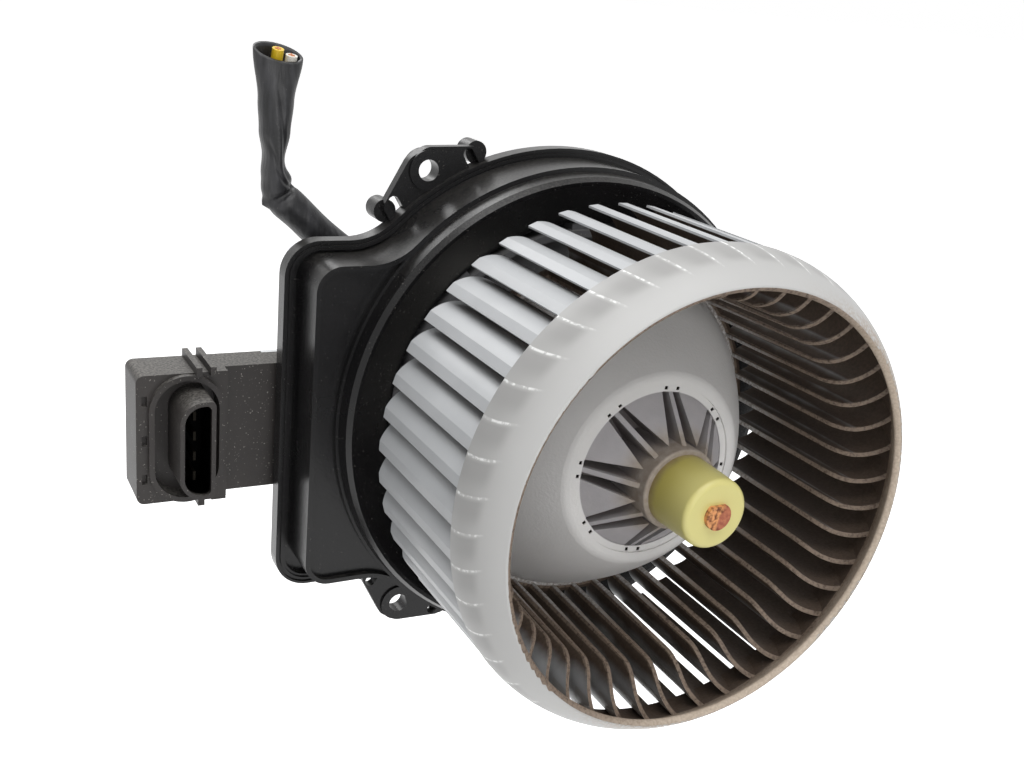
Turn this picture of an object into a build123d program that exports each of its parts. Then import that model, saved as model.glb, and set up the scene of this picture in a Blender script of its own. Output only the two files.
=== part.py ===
"""Car cabin blower motor: squirrel-cage fan wheel on a permanent-magnet motor, held in a moulded
flange that closes the fan housing, with a speed-regulator module and a cut sleeve of two leads.

Frame: millimetres. The shaft lies along Y and the fan inlet looks along -Y. The origin is on the
shaft axis in the front plane of the flange rim. Z is up and the regulator module is on the -X side.
Axial places are given as stations: a station is the distance in front of the flange rim plane (-y).
"""
import os
from math import acos, atan2, cos, degrees, hypot, radians, sin, tan

from build123d import *

# Fan wheel
WHEEL_RADIUS = 72.5
WHEEL_REAR = 34.5
BLADE_COUNT = 44
BLADE_DEPTH = 16.5
BLADE_ARC_RADIUS = 11.9
BLADE_TIP_ANGLE = 6.0
BLADE_THICKNESS = 1.3
BLADE_PHASE = 0.2
BLADE_TAPER = 1.2
BAND_REAR = 85.7
BLADE_BAND_LAP = 10.1
BLADE_FRONT = BAND_REAR + BLADE_BAND_LAP
BLADE_SWEEP = 9.3
BLADE_SHOULDER = BLADE_FRONT - BLADE_SWEEP
BLADE_CORNER_RADIUS = 12.0
BAND_LENGTH = 17.4
BAND_DROP = 7.9
BAND_WALL = 2.0
BAND_LIP_ROUND = 0.9
BAND_STEP = 0.3
BELL_RIM_LAP = 1.5
BELL_RIM_THICKNESS = 2.4
BELL_FOOT_SETBACK = 3.3
BELL_WALL = 2.2
BELL_SHOULDER_RADIUS = 29.8
BELL_SHOULDER_ROUND = 3.4
BELL_FRONT = 70.0
BELL_BULGE = 1.6
RECESS_RADIUS = 26.7
RECESS_STEP = 0.6
CONE_RADIUS = 24.6
CONE_SINK = 0.4
CONE_RISE = 12.0
PLATE_WALL = 1.5
BOSS_RADIUS = 12.4
BOSS_FRONT = 84.0
BOSS_ROUND = 0.7
RIB_COUNT = 8
RIB_PHASE = 38.2
RIB_THICKNESS = 1.5
GROOVE_OUTER = 3.0
GROOVE_INNER = 4.9
GROOVE_FLOOR = 64.0
MARK_RADIUS = 25.7
MARK_OFFSET = 2.1
MARK_SIZE = 1.1

# Hub insert and shaft
HUB_RADIUS = 10.4
HUB_REAR_RADIUS = 10.9
HUB_FRONT = 101.0
HUB_REAR = 60.5
HUB_EDGE = 1.8
SHAFT_RADIUS = 4.0
SHAFT_CHAMFER = 0.5
SHAFT_FRONT = 102.4
SHAFT_END_GAP = 0.6
SHAFT_FLAT_DEPTH = 0.9
SHAFT_FLAT_LENGTH = 22.0
PRESS_GAP = 0.01
RUNNING_GAP = 0.03
END_FLOAT = 0.2

# Mounting flange
FLANGE_RADIUS = 83.0
WING_REACH = 8.6
WING_LEFT = FLANGE_RADIUS + WING_REACH
WING_TOP_SETBACK = 29.0
WING_TOP = FLANGE_RADIUS - WING_TOP_SETBACK
WING_BOTTOM_SETBACK = 22.0
WING_BOTTOM = FLANGE_RADIUS - WING_BOTTOM_SETBACK
WING_CORNER = 11.0
WING_BLEND = 20.0
FLANGE_DEPTH = 5.5
RIM_WIDTH = 3.1
RIDGE_WIDTH = 0.8
RIDGE_HEIGHT = 0.7
TROUGH_DEPTH = 3.3
FLANGE_WALL = 2.2
COLLAR_SETBACK = 6.0
COLLAR_RADIUS = FLANGE_RADIUS - COLLAR_SETBACK
COLLAR_FRONT = 22.9
COLLAR_DRAFT = 2.9
CONE_WIDTH = 14.2
SEAT_RADIUS = COLLAR_RADIUS - CONE_WIDTH
SEAT_STATION = 17.0
SEAT_LIP = 9.0
POCKET_SIDE_SETBACK = 4.6
POCKET_TOP_SETBACK = 3.8
POCKET_BOTTOM_SETBACK = 8.0
POCKET_CORNER = 8.0
POCKET_FRONT = 16.0
POCKET_FLOOR = 14.0
POCKET_RIDGE = 1.5
POCKET_ARC_GAP = 2.3
LUG_ANGLES = (122.0, -122.0, 0.0)
LUG_HOLE_REACH = 5.6
LUG_HOLE_CIRCLE = FLANGE_RADIUS + LUG_HOLE_REACH
LUG_HOLE_RADIUS = 3.3
LUG_NOSE_REACH = 11.8
LUG_SHOULDER_REACH = 4.0
LUG_SHOULDER_BEVEL = 1.5
LUG_SHOULDER_DROP = 1.2
LUG_NOSE_HALF_WIDTH = 3.4
LUG_NOSE_ROUND = 5.0
LUG_HALF_WIDTH = 18.0
LUG_THICKNESS = 3.5
LUG_FRONT = -2.0
LUG_BOSS_RADIUS = 6.2
LUG_BOSS_HEIGHT = 0.8
LUG_BOSS_REAR_HEIGHT = 1.5
LUG_PIN_RADIUS = 3.6
LUG_PIN_LENGTH = 6.0
LUG_PIN_SETBACK = 3.0
LUG_PIN_INSET = 0.6
LUG_SLOT_WIDTH = 3.6
LUG_SLOT_LENGTH = 8.4
LUG_SLOT_REACH = 0.4
LUG_SLOT_INSET = 3.8

# Motor carrier, rear cover and rubber
CARRIER_GAP = 2.4
CARRIER_RADIUS = SEAT_RADIUS - CARRIER_GAP
CARRIER_FRONT = 18.2
CARRIER_WALL = 2.2
CARRIER_SKIRT_REAR = 5.0
CARRIER_FOOT_LAP = 3.2
CARRIER_FOOT_RADIUS = SEAT_RADIUS + CARRIER_FOOT_LAP
CARRIER_DISH_DEPTH = 3.0
CARRIER_DRAFT = 1.0
CARRIER_FLOOR_BORE = 15.0
CARRIER_FOOT_THINNING = 0.2
BRIDGE_COUNT = 9
BRIDGE_PHASE = 12
BRIDGE_HALF_ANGLE = 2.2
BRIDGE_GAP = 0.4
BRIDGE_SETBACK = 1.6
SEAT_RING_SETBACK = 0.6
CUP_INNER_RADIUS = 32.3
CUP_FRONT = 14.0
ISOLATOR_THICKNESS = 2.0
CAN_RING_LENGTH = 6.0
CAN_RING_SETBACK = 2.0
COVER_GAP = 0.5
COVER_CUP_RADIUS = 38.0
COVER_WALL = 2.0
COVER_REAR = -37.0
COVER_CORNER = 4.0
COVER_SCREW_REACH = 7.6
COVER_SCREW_CIRCLE = SEAT_RADIUS + COVER_SCREW_REACH
COVER_SCREW_ANGLES = (60.0, 180.0, 300.0)
COVER_RIB_SETBACK = 7.5
COVER_RIB_COUNT = 6
SCREW_RADIUS = 1.7
SCREW_HOLE_GAP = 0.2
SCREW_HEAD_RADIUS = 3.6
SCREW_HEAD_HEIGHT = 2.2
SCREW_CROSS_LENGTH = 3.6
SCREW_CROSS_WIDTH = 0.9
SCREW_CROSS_DEPTH = 1.2
SCREW_LENGTH = 11.0
POST_RADIUS = 3.6

# Motor
CAN_RADIUS = 30.0
CAN_WALL = 1.6
CAN_FRONT = 52.0
CAN_REAR = -16.0
CAN_SHOULDER_ROUND = 3.0
VENT_CIRCLE = 19.0
VENT_LENGTH = 9.0
VENT_WIDTH = 4.0
VENT_COUNT = 6
BUSH_RADIUS = 7.2
BUSH_LENGTH = 7.0
BUSH_END_SETBACK = 0.9
BUSH_POCKET_GAP = 0.2
BUSH_POCKET_DEPTH = 6.0
NOSE_HOLE_RADIUS = 5.2
STACK_RADIUS = 20.5
STACK_FRONT = 36.0
STACK_REAR = 4.0
SLOT_COUNT = 12
SLOT_INNER = 12.2
SLOT_OUTER = 18.4
SLOT_ROOT_WIDTH = 3.4
SLOT_TOP_WIDTH = 5.6
SLOT_MOUTH = 1.6
SLOT_CLEARANCE = 0.3
INSULATOR_THICKNESS = 0.8
END_TURN_RADIUS = 19.0
END_TURN_BORE = 6.4
END_TURN_LENGTH = 6.2
END_TURN_CHAMFER = 2.0
SPACER_RADIUS = 5.8
MAGNET_THICKNESS = 6.8
MAGNET_HALF_ANGLE = 62.0
MAGNET_LENGTH = 42.0
MAGNET_GAP = 0.15
AIR_GAP = 0.8
CLIP_THICKNESS = 0.8
CLIP_TONGUE_DEPTH = 4.0
CLIP_TONGUE_ANGLE = 2.0
CLIP_PLAY_ANGLE = 0.4
CLIP_SETBACK = 6.0
COMMUTATOR_RADIUS = 11.0
COMMUTATOR_CORE_RADIUS = 8.0
COMMUTATOR_LENGTH = 10.4
COMMUTATOR_BAR_GAP = 0.5
HOOK_RADIUS = 12.3
HOOK_LENGTH = 1.4
WASHER_THICKNESS = 0.8
WASHER_WIDTH = 2.2
RETAINER_THICKNESS = 0.6

# Brush gear
CARD_THICKNESS = 2.2
CARD_BORE = 12.6
CARD_GAP = 0.2
CARD_POST_RADIUS = 1.8
CARD_POST_SETBACK = 3.0
CARD_POST_ANGLES = (30, 90, 210, 270, 330)
BRUSH_WIDTH = 5.0
BRUSH_DEPTH = 6.0
BRUSH_LENGTH = 9.2
BRUSH_GAP = 0.3
HOLDER_WALL = 0.8
HOLDER_GAP = 0.1
HOLDER_INNER = 12.9
SPRING_LENGTH = 5.2
SPRING_RADIUS = 1.9
SPRING_WIRE = 0.5
SPRING_TURNS = 4.5
TERMINAL_CIRCLE = 21.0
TERMINAL_ANGLE = 145.0
TERMINAL_SPREAD = 24.0
TERMINAL_THICKNESS = 0.8
TERMINAL_WIDTH = 6.0
TERMINAL_SLOT_GAP = 1.0
TERMINAL_ARM_WIDTH = 2.4
TERMINAL_ARM_THICKNESS = 1.2
CRIMP_LENGTH = 6.0
CRIMP_LAP = 5.0

# Regulator module
MODULE_GAP = 0.8
MODULE_RIGHT = WING_LEFT + MODULE_GAP
MODULE_SHELF = 14.6
MODULE_STEP = MODULE_RIGHT + MODULE_SHELF
MODULE_DEEP_WIDTH = 27.0
MODULE_LEFT = MODULE_STEP + MODULE_DEEP_WIDTH
MODULE_TOP = 13.6
MODULE_HEIGHT = 41.2
MODULE_FRONT = -4.0
MODULE_STEP_BACK = 4.0
MODULE_REAR = -20.5
MODULE_WALL = 1.8
MODULE_CORNER = 2.4
COLLAR_WIDTH = 22.4
COLLAR_HEIGHT = 40.8
SOCKET_COLLAR_FRONT = -2.0
SOCKET_COLLAR_WALL = 1.6
SOCKET_SETBACK = 14.6
SOCKET_X = MODULE_LEFT - SOCKET_SETBACK
MOAT_DEPTH = 7.0
SHROUD_WIDTH = 10.4
SHROUD_HEIGHT = 31.0
SHROUD_FRONT = 8.0
SHROUD_WALL = 1.3
SHROUD_ROUND = 7.0
SHROUD_CORNER = 1.6
SHROUD_SHIFT = 0.9
SHROUD_X = SOCKET_X - SHROUD_SHIFT
SOCKET_DEPTH = 14.0
PIN_COUNT = 4
PIN_PITCH = 6.4
PIN_WIDTH = 2.8
PIN_THICKNESS = 0.8
PIN_LENGTH = 9.0
PIN_TAIL = 6.0
LID_THICKNESS = 1.6
BOARD_THICKNESS = 1.6
SINK_FIN_COUNT = 9
SINK_FIN_THICKNESS = 1.2
SINK_FIN_HEIGHT = 9.0
SINK_BASE = 3.0
MODULE_TAB_REACH = 29.6
MODULE_TAB_LEFT = WING_LEFT - MODULE_TAB_REACH
MODULE_SCREW_SETBACK = 9.2
MODULE_SCREW_X = WING_LEFT - MODULE_SCREW_SETBACK
GUIDE_SETBACKS = (17.0, 21.2)
GUIDE_WIDTH = 1.7
GUIDE_HEIGHT = 2.4
GUIDE_REACH = 3.0
NOTCH_PITCH = 12.5
NOTCH_WIDTH = 1.6
NOTCH_HEIGHT = 3.2
NOTCH_DEPTH = 1.5
LATCH_SETBACK = 3.5
LATCH_LENGTH = 4.5
LATCH_DROP = 3.0
LATCH_DEPTH = 4.0
CATCH_GAP = 3.1
CATCH_WIDTH = 2.0
CATCH_DROP = 2.6
CATCH_DEPTH = 2.0
TRANSISTOR_LENGTH = 14.0
TRANSISTOR_WIDTH = 16.0
TRANSISTOR_LEG_PITCH = 5.0
TRANSISTOR_LEG = 1.0
EAR_THICKNESS = 2.5
EAR_RADIUS = 4.6
EAR_SETBACK = 2.5
TAB_REAR_SETBACK = 1.5

# Leads: the route lies in one plane behind the flange, as (x, z)
SLEEVE_RADIUS = 5.7
SLEEVE_WALL = 0.9
LEAD_RADIUS = 1.8
LEAD_OFFSET = 2.1
LEAD_STATION = -26.0
LEAD_START_RADIUS = 30.0
ROUTE = [(-33.0, 23.0), (-54.0, 36.2), (-72.0, 49.5), (-84.0, 61.0), (-88.5, 73.5), (-89.2, 89.5),
         (-88.0, 106.0)]
ROUTE_SHARE = 0.45
GLAND_RADIUS = 7.6
GLAND_LENGTH = 9.0
GLAND_LAP = 1.8
GLAND_RING_THICKNESS = 2.0
GLAND_BOSS_LENGTH = 3.0
GLAND_BOSS_WALL = 2.0


def station(s):
    """Plane across the shaft at station s, with x to the right and z up, looking forward."""
    return Plane.XZ.offset(s)


def turned(*points):
    """Solid of revolution about the shaft from a closed outline of (radius, station) points."""
    outline = Polyline(*[(r, -s) for r, s in points], close=True)
    return revolve(make_face(outline), axis=Axis.Y)


def turned_face(face):
    """Solid of revolution about the shaft from a face drawn as (radius, -station)."""
    return revolve(face, axis=Axis.Y)


def raised(sketch, rear, front):
    """Sketch drawn as (x, z), extruded along the shaft between two stations."""
    return extrude(station(rear) * sketch, front - rear)


def rod(radius, rear, front, x=0.0, z=0.0):
    return raised(Pos(x, z) * Circle(radius), rear, front)


def block(left, right, low, high, rear, front):
    """Box between two x values, two z values and two stations."""
    middle = Pos((left + right) / 2, (low + high) / 2)
    return raised(middle * Rectangle(right - left, high - low), rear, front)


def polar(radius, angle):
    return radius * cos(radians(angle)), radius * sin(radians(angle))


def spun(shape, angle):
    """Shape turned about the shaft, counter-clockwise seen from the fan inlet."""
    return Rot(0, -angle, 0) * shape


def ring_of(shape, count, phase=0.0):
    return [spun(shape, phase + 360.0 / count * i) for i in range(count)]


# Fan wheel

def blade_section():
    """Forward-curved blade: one arc from near-tangent at the outer circle down to the blade's root."""
    root = WHEEL_RADIUS - BLADE_DEPTH - BLADE_TAPER
    tip = radians(BLADE_TIP_ANGLE)
    centre = (WHEEL_RADIUS - BLADE_ARC_RADIUS * cos(tip), BLADE_ARC_RADIUS * sin(tip))
    reach = hypot(*centre)
    turn = acos((root ** 2 - reach ** 2 - BLADE_ARC_RADIUS ** 2) / (2 * reach * BLADE_ARC_RADIUS))
    end = degrees(atan2(centre[1], centre[0]) - turn)
    sweep = -BLADE_TIP_ANGLE - end
    half = BLADE_THICKNESS / 2
    outer = CenterArc(centre, BLADE_ARC_RADIUS + half, end, sweep)
    inner = CenterArc(centre, BLADE_ARC_RADIUS - half, end, sweep)
    return make_face([outer, inner, Line(outer @ 0, inner @ 0), Line(outer @ 1, inner @ 1)])


def band_radius():
    return (BAND_LENGTH ** 2 + BAND_DROP ** 2) / (2 * BAND_DROP)


def band_point(inset, share):
    """Point of the band's curved wall as (radius, -station), inset from its outer face."""
    bend = degrees(atan2(BAND_LENGTH, band_radius() - BAND_DROP)) * share
    radius = band_radius() - inset
    centre = WHEEL_RADIUS - band_radius()
    return (centre + radius * cos(radians(bend)), -(BAND_REAR + radius * sin(radians(bend))))


def band_outline(inset):
    return ThreePointArc(band_point(inset, 0), band_point(inset, 0.5), band_point(inset, 1))


def front_band():
    outer = band_outline(-BAND_STEP)
    inner = band_outline(BAND_WALL)
    face = make_face([outer, inner, Line(outer @ 0, inner @ 0), Line(outer @ 1, inner @ 1)])
    lip = [v for v in face.vertices() if v.Y < -(BAND_REAR + BAND_LENGTH / 2)]
    return turned_face(fillet(lip, BAND_LIP_ROUND))


def blade_inner_radius():
    return WHEEL_RADIUS - BLADE_DEPTH


def blade_envelope():
    """What the blades may fill: rear face, outer circle, band wall and the swept-back front corner."""
    band = band_outline(BAND_WALL / 2)
    share = (BLADE_FRONT - BAND_REAR) / BAND_LENGTH
    root = blade_inner_radius()
    inner_front = (root, -BLADE_SHOULDER)
    face = make_face(Polyline((WHEEL_RADIUS, -WHEEL_REAR), (WHEEL_RADIUS, -BAND_REAR), band @ (share / 2),
                              band @ share, inner_front, (root - BLADE_TAPER, -WHEEL_REAR), close=True))
    corner = face.vertices().sort_by_distance((root, -BLADE_SHOULDER, 0))[0]
    return turned_face(fillet(corner, BLADE_CORNER_RADIUS))


def cone_base():
    """Station where the coned hub face leaves the ring step."""
    return BELL_FRONT - RECESS_STEP - CONE_SINK


def hub_underside():
    return GROOVE_FLOOR - BELL_WALL


def bell():
    """Hub of the wheel: a bell from the blade roots to the front ring, then a cone up to the boss."""
    rim = blade_inner_radius() + BELL_RIM_LAP
    foot_front = WHEEL_REAR + BELL_RIM_THICKNESS
    foot = (rim - BELL_FOOT_SETBACK, -foot_front)
    shoulder = (BELL_SHOULDER_RADIUS, -BELL_FRONT)
    slope = hypot(foot[0] - shoulder[0], foot[1] - shoulder[1])
    across = ((shoulder[1] - foot[1]) / slope, (foot[0] - shoulder[0]) / slope)
    middle = ((foot[0] + shoulder[0]) / 2 - BELL_BULGE * across[0],
              (foot[1] + shoulder[1]) / 2 - BELL_BULGE * across[1])
    side = ThreePointArc(foot, middle, shoulder)
    inner_side = ThreePointArc(
        (foot[0] - BELL_WALL, foot[1] + 0.2),
        (middle[0] - 0.8 * BELL_WALL, middle[1] + 0.6 * BELL_WALL),
        (shoulder[0] - 0.6 * BELL_WALL, shoulder[1] + 1.6 * BELL_WALL))
    front = Polyline(
        side @ 1,
        (RECESS_RADIUS, -BELL_FRONT),
        (RECESS_RADIUS, -(BELL_FRONT - RECESS_STEP)),
        (CONE_RADIUS, -(BELL_FRONT - RECESS_STEP)),
        (CONE_RADIUS, -cone_base()),
        (BOSS_RADIUS, -(cone_base() + CONE_RISE)),
        (BOSS_RADIUS, -BOSS_FRONT),
        (HUB_REAR_RADIUS, -BOSS_FRONT),
        (HUB_REAR_RADIUS, -hub_underside()),
        (CONE_RADIUS + 1.0, -hub_underside()),
        inner_side @ 1)
    rear = Polyline(
        inner_side @ 0,
        (foot[0] - BELL_WALL, -WHEEL_REAR),
        (rim, -WHEEL_REAR),
        (rim, -(foot_front - 0.6)),
        side @ 0)
    face = make_face([side, inner_side] + front.edges() + rear.edges())
    face = fillet(face.vertices().sort_by_distance((shoulder[0], shoulder[1], 0))[0], BELL_SHOULDER_ROUND)
    face = fillet(face.vertices().sort_by_distance((BOSS_RADIUS, -BOSS_FRONT, 0))[0], BOSS_ROUND)
    return turned_face(face) - plate_hollows() - hub_grooves()


def groove_edge(radius):
    """Distance of a groove's outer wall from the middle of its rib."""
    share = (CONE_RADIUS - radius) / (CONE_RADIUS - BOSS_RADIUS)
    return GROOVE_OUTER + share * (GROOVE_INNER - GROOVE_OUTER)


def hub_grooves():
    """Two grooves beside each radial rib of the coned face, and the small square mark at their ends."""
    inner = BOSS_RADIUS - 2.0
    outer_edge, inner_edge = groove_edge(CONE_RADIUS), groove_edge(inner)
    face = make_face(Polyline((CONE_RADIUS, -outer_edge), (CONE_RADIUS, outer_edge), (inner, inner_edge),
                              (inner, -inner_edge), close=True))
    face -= Rectangle(3 * CONE_RADIUS, RIB_THICKNESS)
    cut = raised(face, GROOVE_FLOOR, BOSS_FRONT) - rod(BOSS_RADIUS, GROOVE_FLOOR - 1, BOSS_FRONT + 1)
    mark = Rectangle(MARK_SIZE, MARK_SIZE)
    marks = Pos(MARK_RADIUS, MARK_OFFSET) * mark + Pos(MARK_RADIUS, -MARK_OFFSET) * mark
    cut += raised(marks, BELL_FRONT - RECESS_STEP - MARK_SIZE, BELL_FRONT)
    return ring_of(cut, RIB_COUNT, RIB_PHASE)


def plate_hollows():
    """Spaces behind the plates of the coned face, open to the rear and one wall in from each groove."""
    half_step = radians(180.0 / RIB_COUNT)
    spread = (groove_edge(BOSS_RADIUS) - GROOVE_OUTER) / (CONE_RADIUS - BOSS_RADIUS)
    tip_along = (GROOVE_OUTER + PLATE_WALL + spread * CONE_RADIUS) / (tan(half_step) + spread)
    outer = CONE_RADIUS - PLATE_WALL
    outer_edge = groove_edge(outer) + PLATE_WALL
    tip = tip_along / cos(half_step)
    wide = outer * sin(half_step) - outer_edge * cos(half_step)
    far = outer * cos(half_step) + outer_edge * sin(half_step)
    rear, front = hub_underside() - 1, cone_base() - PLATE_WALL
    triangle = make_face(Polyline((tip, 0), (far, -wide), (far, wide), close=True))
    below = turned((0, rear), (CONE_RADIUS, rear), (CONE_RADIUS, front), (BOSS_RADIUS, front + CONE_RISE),
                   (0, front + CONE_RISE))
    return ring_of(raised(triangle, rear, BOSS_FRONT) & below, RIB_COUNT, RIB_PHASE + degrees(half_step))


def fan_wheel():
    blade = raised(blade_section(), WHEEL_REAR, BAND_REAR + BAND_LENGTH) & blade_envelope()
    return bell() + front_band() + ring_of(blade, BLADE_COUNT, BLADE_PHASE)


def hub_insert():
    """Plastic bush that grips the shaft; the wheel's boss is moulded round its rear half."""
    profile = make_face(Polyline((0, -HUB_REAR), (HUB_REAR_RADIUS, -HUB_REAR), (HUB_REAR_RADIUS, -BOSS_FRONT),
                                 (HUB_RADIUS, -HUB_FRONT), (0, -HUB_FRONT), close=True))
    edge = profile.vertices().sort_by_distance((HUB_RADIUS, -HUB_FRONT, 0))[0]
    body = turned_face(fillet(edge, HUB_EDGE))
    return body - shaft_bar(PRESS_GAP, HUB_REAR - 1, HUB_FRONT + 1)


def shaft_bar(gap, rear, front):
    """Shaft outline with its drive flat, grown by a gap."""
    bar = rod(SHAFT_RADIUS + gap, rear, front)
    flat = block(-8, 8, SHAFT_RADIUS - SHAFT_FLAT_DEPTH + gap, 8, SHAFT_FRONT - SHAFT_FLAT_LENGTH, front + 1)
    return bar - flat


def motor_shaft():
    rear = bush_front_rear() - BUSH_LENGTH + SHAFT_END_GAP
    bar = shaft_bar(0.0, rear, SHAFT_FRONT)
    ends = [e for e in bar.edges().filter_by(GeomType.CIRCLE) if abs(-e.center().Y - rear) < 0.01]
    return chamfer(ends, SHAFT_CHAMFER)


# Motor

def slot_outline(inset=0.0):
    """Tapered winding slot of the armature, drawn on +X, wider towards its mouth."""
    root, mouth = SLOT_INNER + inset, SLOT_OUTER - inset
    narrow, wide = SLOT_ROOT_WIDTH / 2 - inset, SLOT_TOP_WIDTH / 2 - inset
    return make_face(Polyline((root, -narrow), (mouth, -wide), (mouth, wide), (root, narrow), close=True))


def stack_section():
    """One lamination: a disc with tapered slots that open through a narrow mouth."""
    mouth = Pos((SLOT_OUTER + STACK_RADIUS) / 2, 0) * Rectangle(STACK_RADIUS - SLOT_OUTER + 2, SLOT_MOUTH)
    slot = slot_outline() + mouth
    slots = [Rot(0, 0, 360.0 / SLOT_COUNT * i) * slot for i in range(SLOT_COUNT)]
    return Circle(STACK_RADIUS) - slots


def armature_stack():
    return raised(stack_section() - Circle(SHAFT_RADIUS + PRESS_GAP), STACK_REAR, STACK_FRONT)


def armature_insulator(rear):
    return raised(stack_section() - Circle(SHAFT_RADIUS + PRESS_GAP), rear, rear + INSULATOR_THICKNESS)


def armature_windings():
    """Copper coils: two end turns joined by the conductors that fill the slots."""
    front = STACK_FRONT + INSULATOR_THICKNESS
    rear = STACK_REAR - INSULATOR_THICKNESS
    turns = []
    for near, far in ((front, front + END_TURN_LENGTH), (rear, rear - END_TURN_LENGTH)):
        face = make_face(Polyline((END_TURN_BORE, -near), (END_TURN_RADIUS, -near), (END_TURN_RADIUS, -far),
                                  (END_TURN_BORE, -far), close=True))
        corners = [v for v in face.vertices() if abs(v.Y + far) < 0.01]
        turns.append(turned_face(chamfer(corners, END_TURN_CHAMFER)))
    fill = raised(slot_outline(SLOT_CLEARANCE), rear - 1.0, front + 1.0)
    return turns[0] + turns[1] + ring_of(fill, SLOT_COUNT)


def commutator_stations():
    front = STACK_REAR - INSULATOR_THICKNESS - END_TURN_LENGTH - END_FLOAT
    return front - COMMUTATOR_LENGTH, front


def commutator_core():
    """Insulating core on the shaft; the rear thrust washer bears on its rear face."""
    front = commutator_stations()[1]
    rear = bush_front_rear() + END_FLOAT + WASHER_THICKNESS
    bore = SHAFT_RADIUS + PRESS_GAP
    edge = COMMUTATOR_CORE_RADIUS
    return turned((bore, rear), (edge, rear), (edge, front), (bore, front))


def commutator_bars():
    """Copper bars round the core, each with a riser hook at its winding end."""
    rear, front = commutator_stations()
    tube = turned((COMMUTATOR_CORE_RADIUS, rear), (COMMUTATOR_RADIUS, rear),
                  (COMMUTATOR_RADIUS, front - HOOK_LENGTH), (HOOK_RADIUS, front - HOOK_LENGTH),
                  (HOOK_RADIUS, front), (COMMUTATOR_CORE_RADIUS, front))
    step = 360.0 / SLOT_COUNT
    gap = block(0, 2 * HOOK_RADIUS, -COMMUTATOR_BAR_GAP / 2, COMMUTATOR_BAR_GAP / 2, rear - 1, front + 1)
    cut = tube - ring_of(gap, SLOT_COUNT, step / 2)
    return cut


def spacers():
    """Insulating tubes on the shaft, between the stack, the commutator and the front washer."""
    bore = SHAFT_RADIUS + PRESS_GAP
    washer = bush_rear_front() - END_FLOAT - WASHER_THICKNESS
    stack_front, stack_rear = STACK_FRONT + INSULATOR_THICKNESS, STACK_REAR - INSULATOR_THICKNESS
    core = commutator_stations()[1]
    front = turned((bore, stack_front), (SPACER_RADIUS, stack_front), (SPACER_RADIUS, washer), (bore, washer))
    rear = turned((bore, core), (SPACER_RADIUS, core), (SPACER_RADIUS, stack_rear), (bore, stack_rear))
    return front, rear


def bush_rear_front():
    """Station of the front bush's rear face."""
    return CAN_FRONT - CAN_WALL + BUSH_POCKET_DEPTH - BUSH_LENGTH


def bush_front_rear():
    """Station of the rear bush's front face."""
    return CAN_REAR - BUSH_POCKET_DEPTH + BUSH_LENGTH


def thrust_washer(rear):
    bore = SHAFT_RADIUS + RUNNING_GAP
    edge, front = bore + WASHER_WIDTH, rear + WASHER_THICKNESS
    return turned((bore, rear), (edge, rear), (edge, front), (bore, front))


def bush(rear):
    """Sintered bush with a barrel-shaped outside, so that it lines itself up."""
    bore = SHAFT_RADIUS + RUNNING_GAP
    end = BUSH_RADIUS - BUSH_END_SETBACK
    front = rear + BUSH_LENGTH
    barrel = ThreePointArc((end, -rear), (BUSH_RADIUS, -(rear + front) / 2), (end, -front))
    rest = Polyline((end, -front), (bore, -front), (bore, -rear), (end, -rear))
    return turned_face(make_face([barrel] + rest.edges()))


def bush_retainer(seat, face, forward):
    """Dished spring washer that presses a bush into its pocket."""
    lift = RETAINER_THICKNESS * forward
    inner, outer = BUSH_RADIUS - 0.6, HOOK_RADIUS - 0.2
    return turned((inner, face), (outer, seat), (outer, seat - lift), (inner, face - lift))


def motor_can():
    """Deep-drawn steel can, closed at the front, with a nose that holds the front bush."""
    inner = CAN_RADIUS - CAN_WALL
    nose = BUSH_RADIUS + BUSH_POCKET_GAP
    nose_front = CAN_FRONT + BUSH_POCKET_DEPTH
    face = make_face(Polyline(
        (CAN_RADIUS, -CAN_REAR), (CAN_RADIUS, -CAN_FRONT), (nose + CAN_WALL, -CAN_FRONT),
        (nose + CAN_WALL, -nose_front), (NOSE_HOLE_RADIUS, -nose_front),
        (NOSE_HOLE_RADIUS, -(nose_front - CAN_WALL)), (nose, -(nose_front - CAN_WALL)),
        (nose, -(CAN_FRONT - CAN_WALL)), (inner, -(CAN_FRONT - CAN_WALL)), (inner, -CAN_REAR), close=True))
    shoulder = face.vertices().sort_by_distance((CAN_RADIUS, -CAN_FRONT, 0))[0]
    can = turned_face(fillet(shoulder, CAN_SHOULDER_ROUND))
    slot = SlotOverall(VENT_LENGTH, VENT_WIDTH, 90)
    vent = raised(Pos(VENT_CIRCLE, 0) * slot, CAN_FRONT - 5, CAN_FRONT + 5)
    return can - ring_of(vent, VENT_COUNT, 180 / VENT_COUNT)


def end_plate():
    """Pressed steel plate that closes the can and holds the rear bush in a blind boss."""
    nose = BUSH_RADIUS + BUSH_POCKET_GAP
    rear = CAN_REAR - CAN_WALL
    boss_rear = rear - BUSH_POCKET_DEPTH
    plate = turned((0, boss_rear), (nose + CAN_WALL, boss_rear), (nose + CAN_WALL, rear), (CAN_RADIUS, rear),
                   (CAN_RADIUS, CAN_REAR), (nose, CAN_REAR), (nose, boss_rear + CAN_WALL),
                   (0, boss_rear + CAN_WALL))
    slots = [raised(tab_outline(side, TERMINAL_SLOT_GAP), rear - 1, CAN_REAR + 1) for side in (-1, 1)]
    return plate - slots


def magnet(side):
    outer = CAN_RADIUS - CAN_WALL - MAGNET_GAP
    inner = STACK_RADIUS + AIR_GAP
    face = arc_sector(inner, outer, -MAGNET_HALF_ANGLE, MAGNET_HALF_ANGLE)
    start = (STACK_FRONT + STACK_REAR - MAGNET_LENGTH) / 2
    shape = raised(face, start, start + MAGNET_LENGTH)
    return shape if side > 0 else spun(shape, 180)


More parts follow.
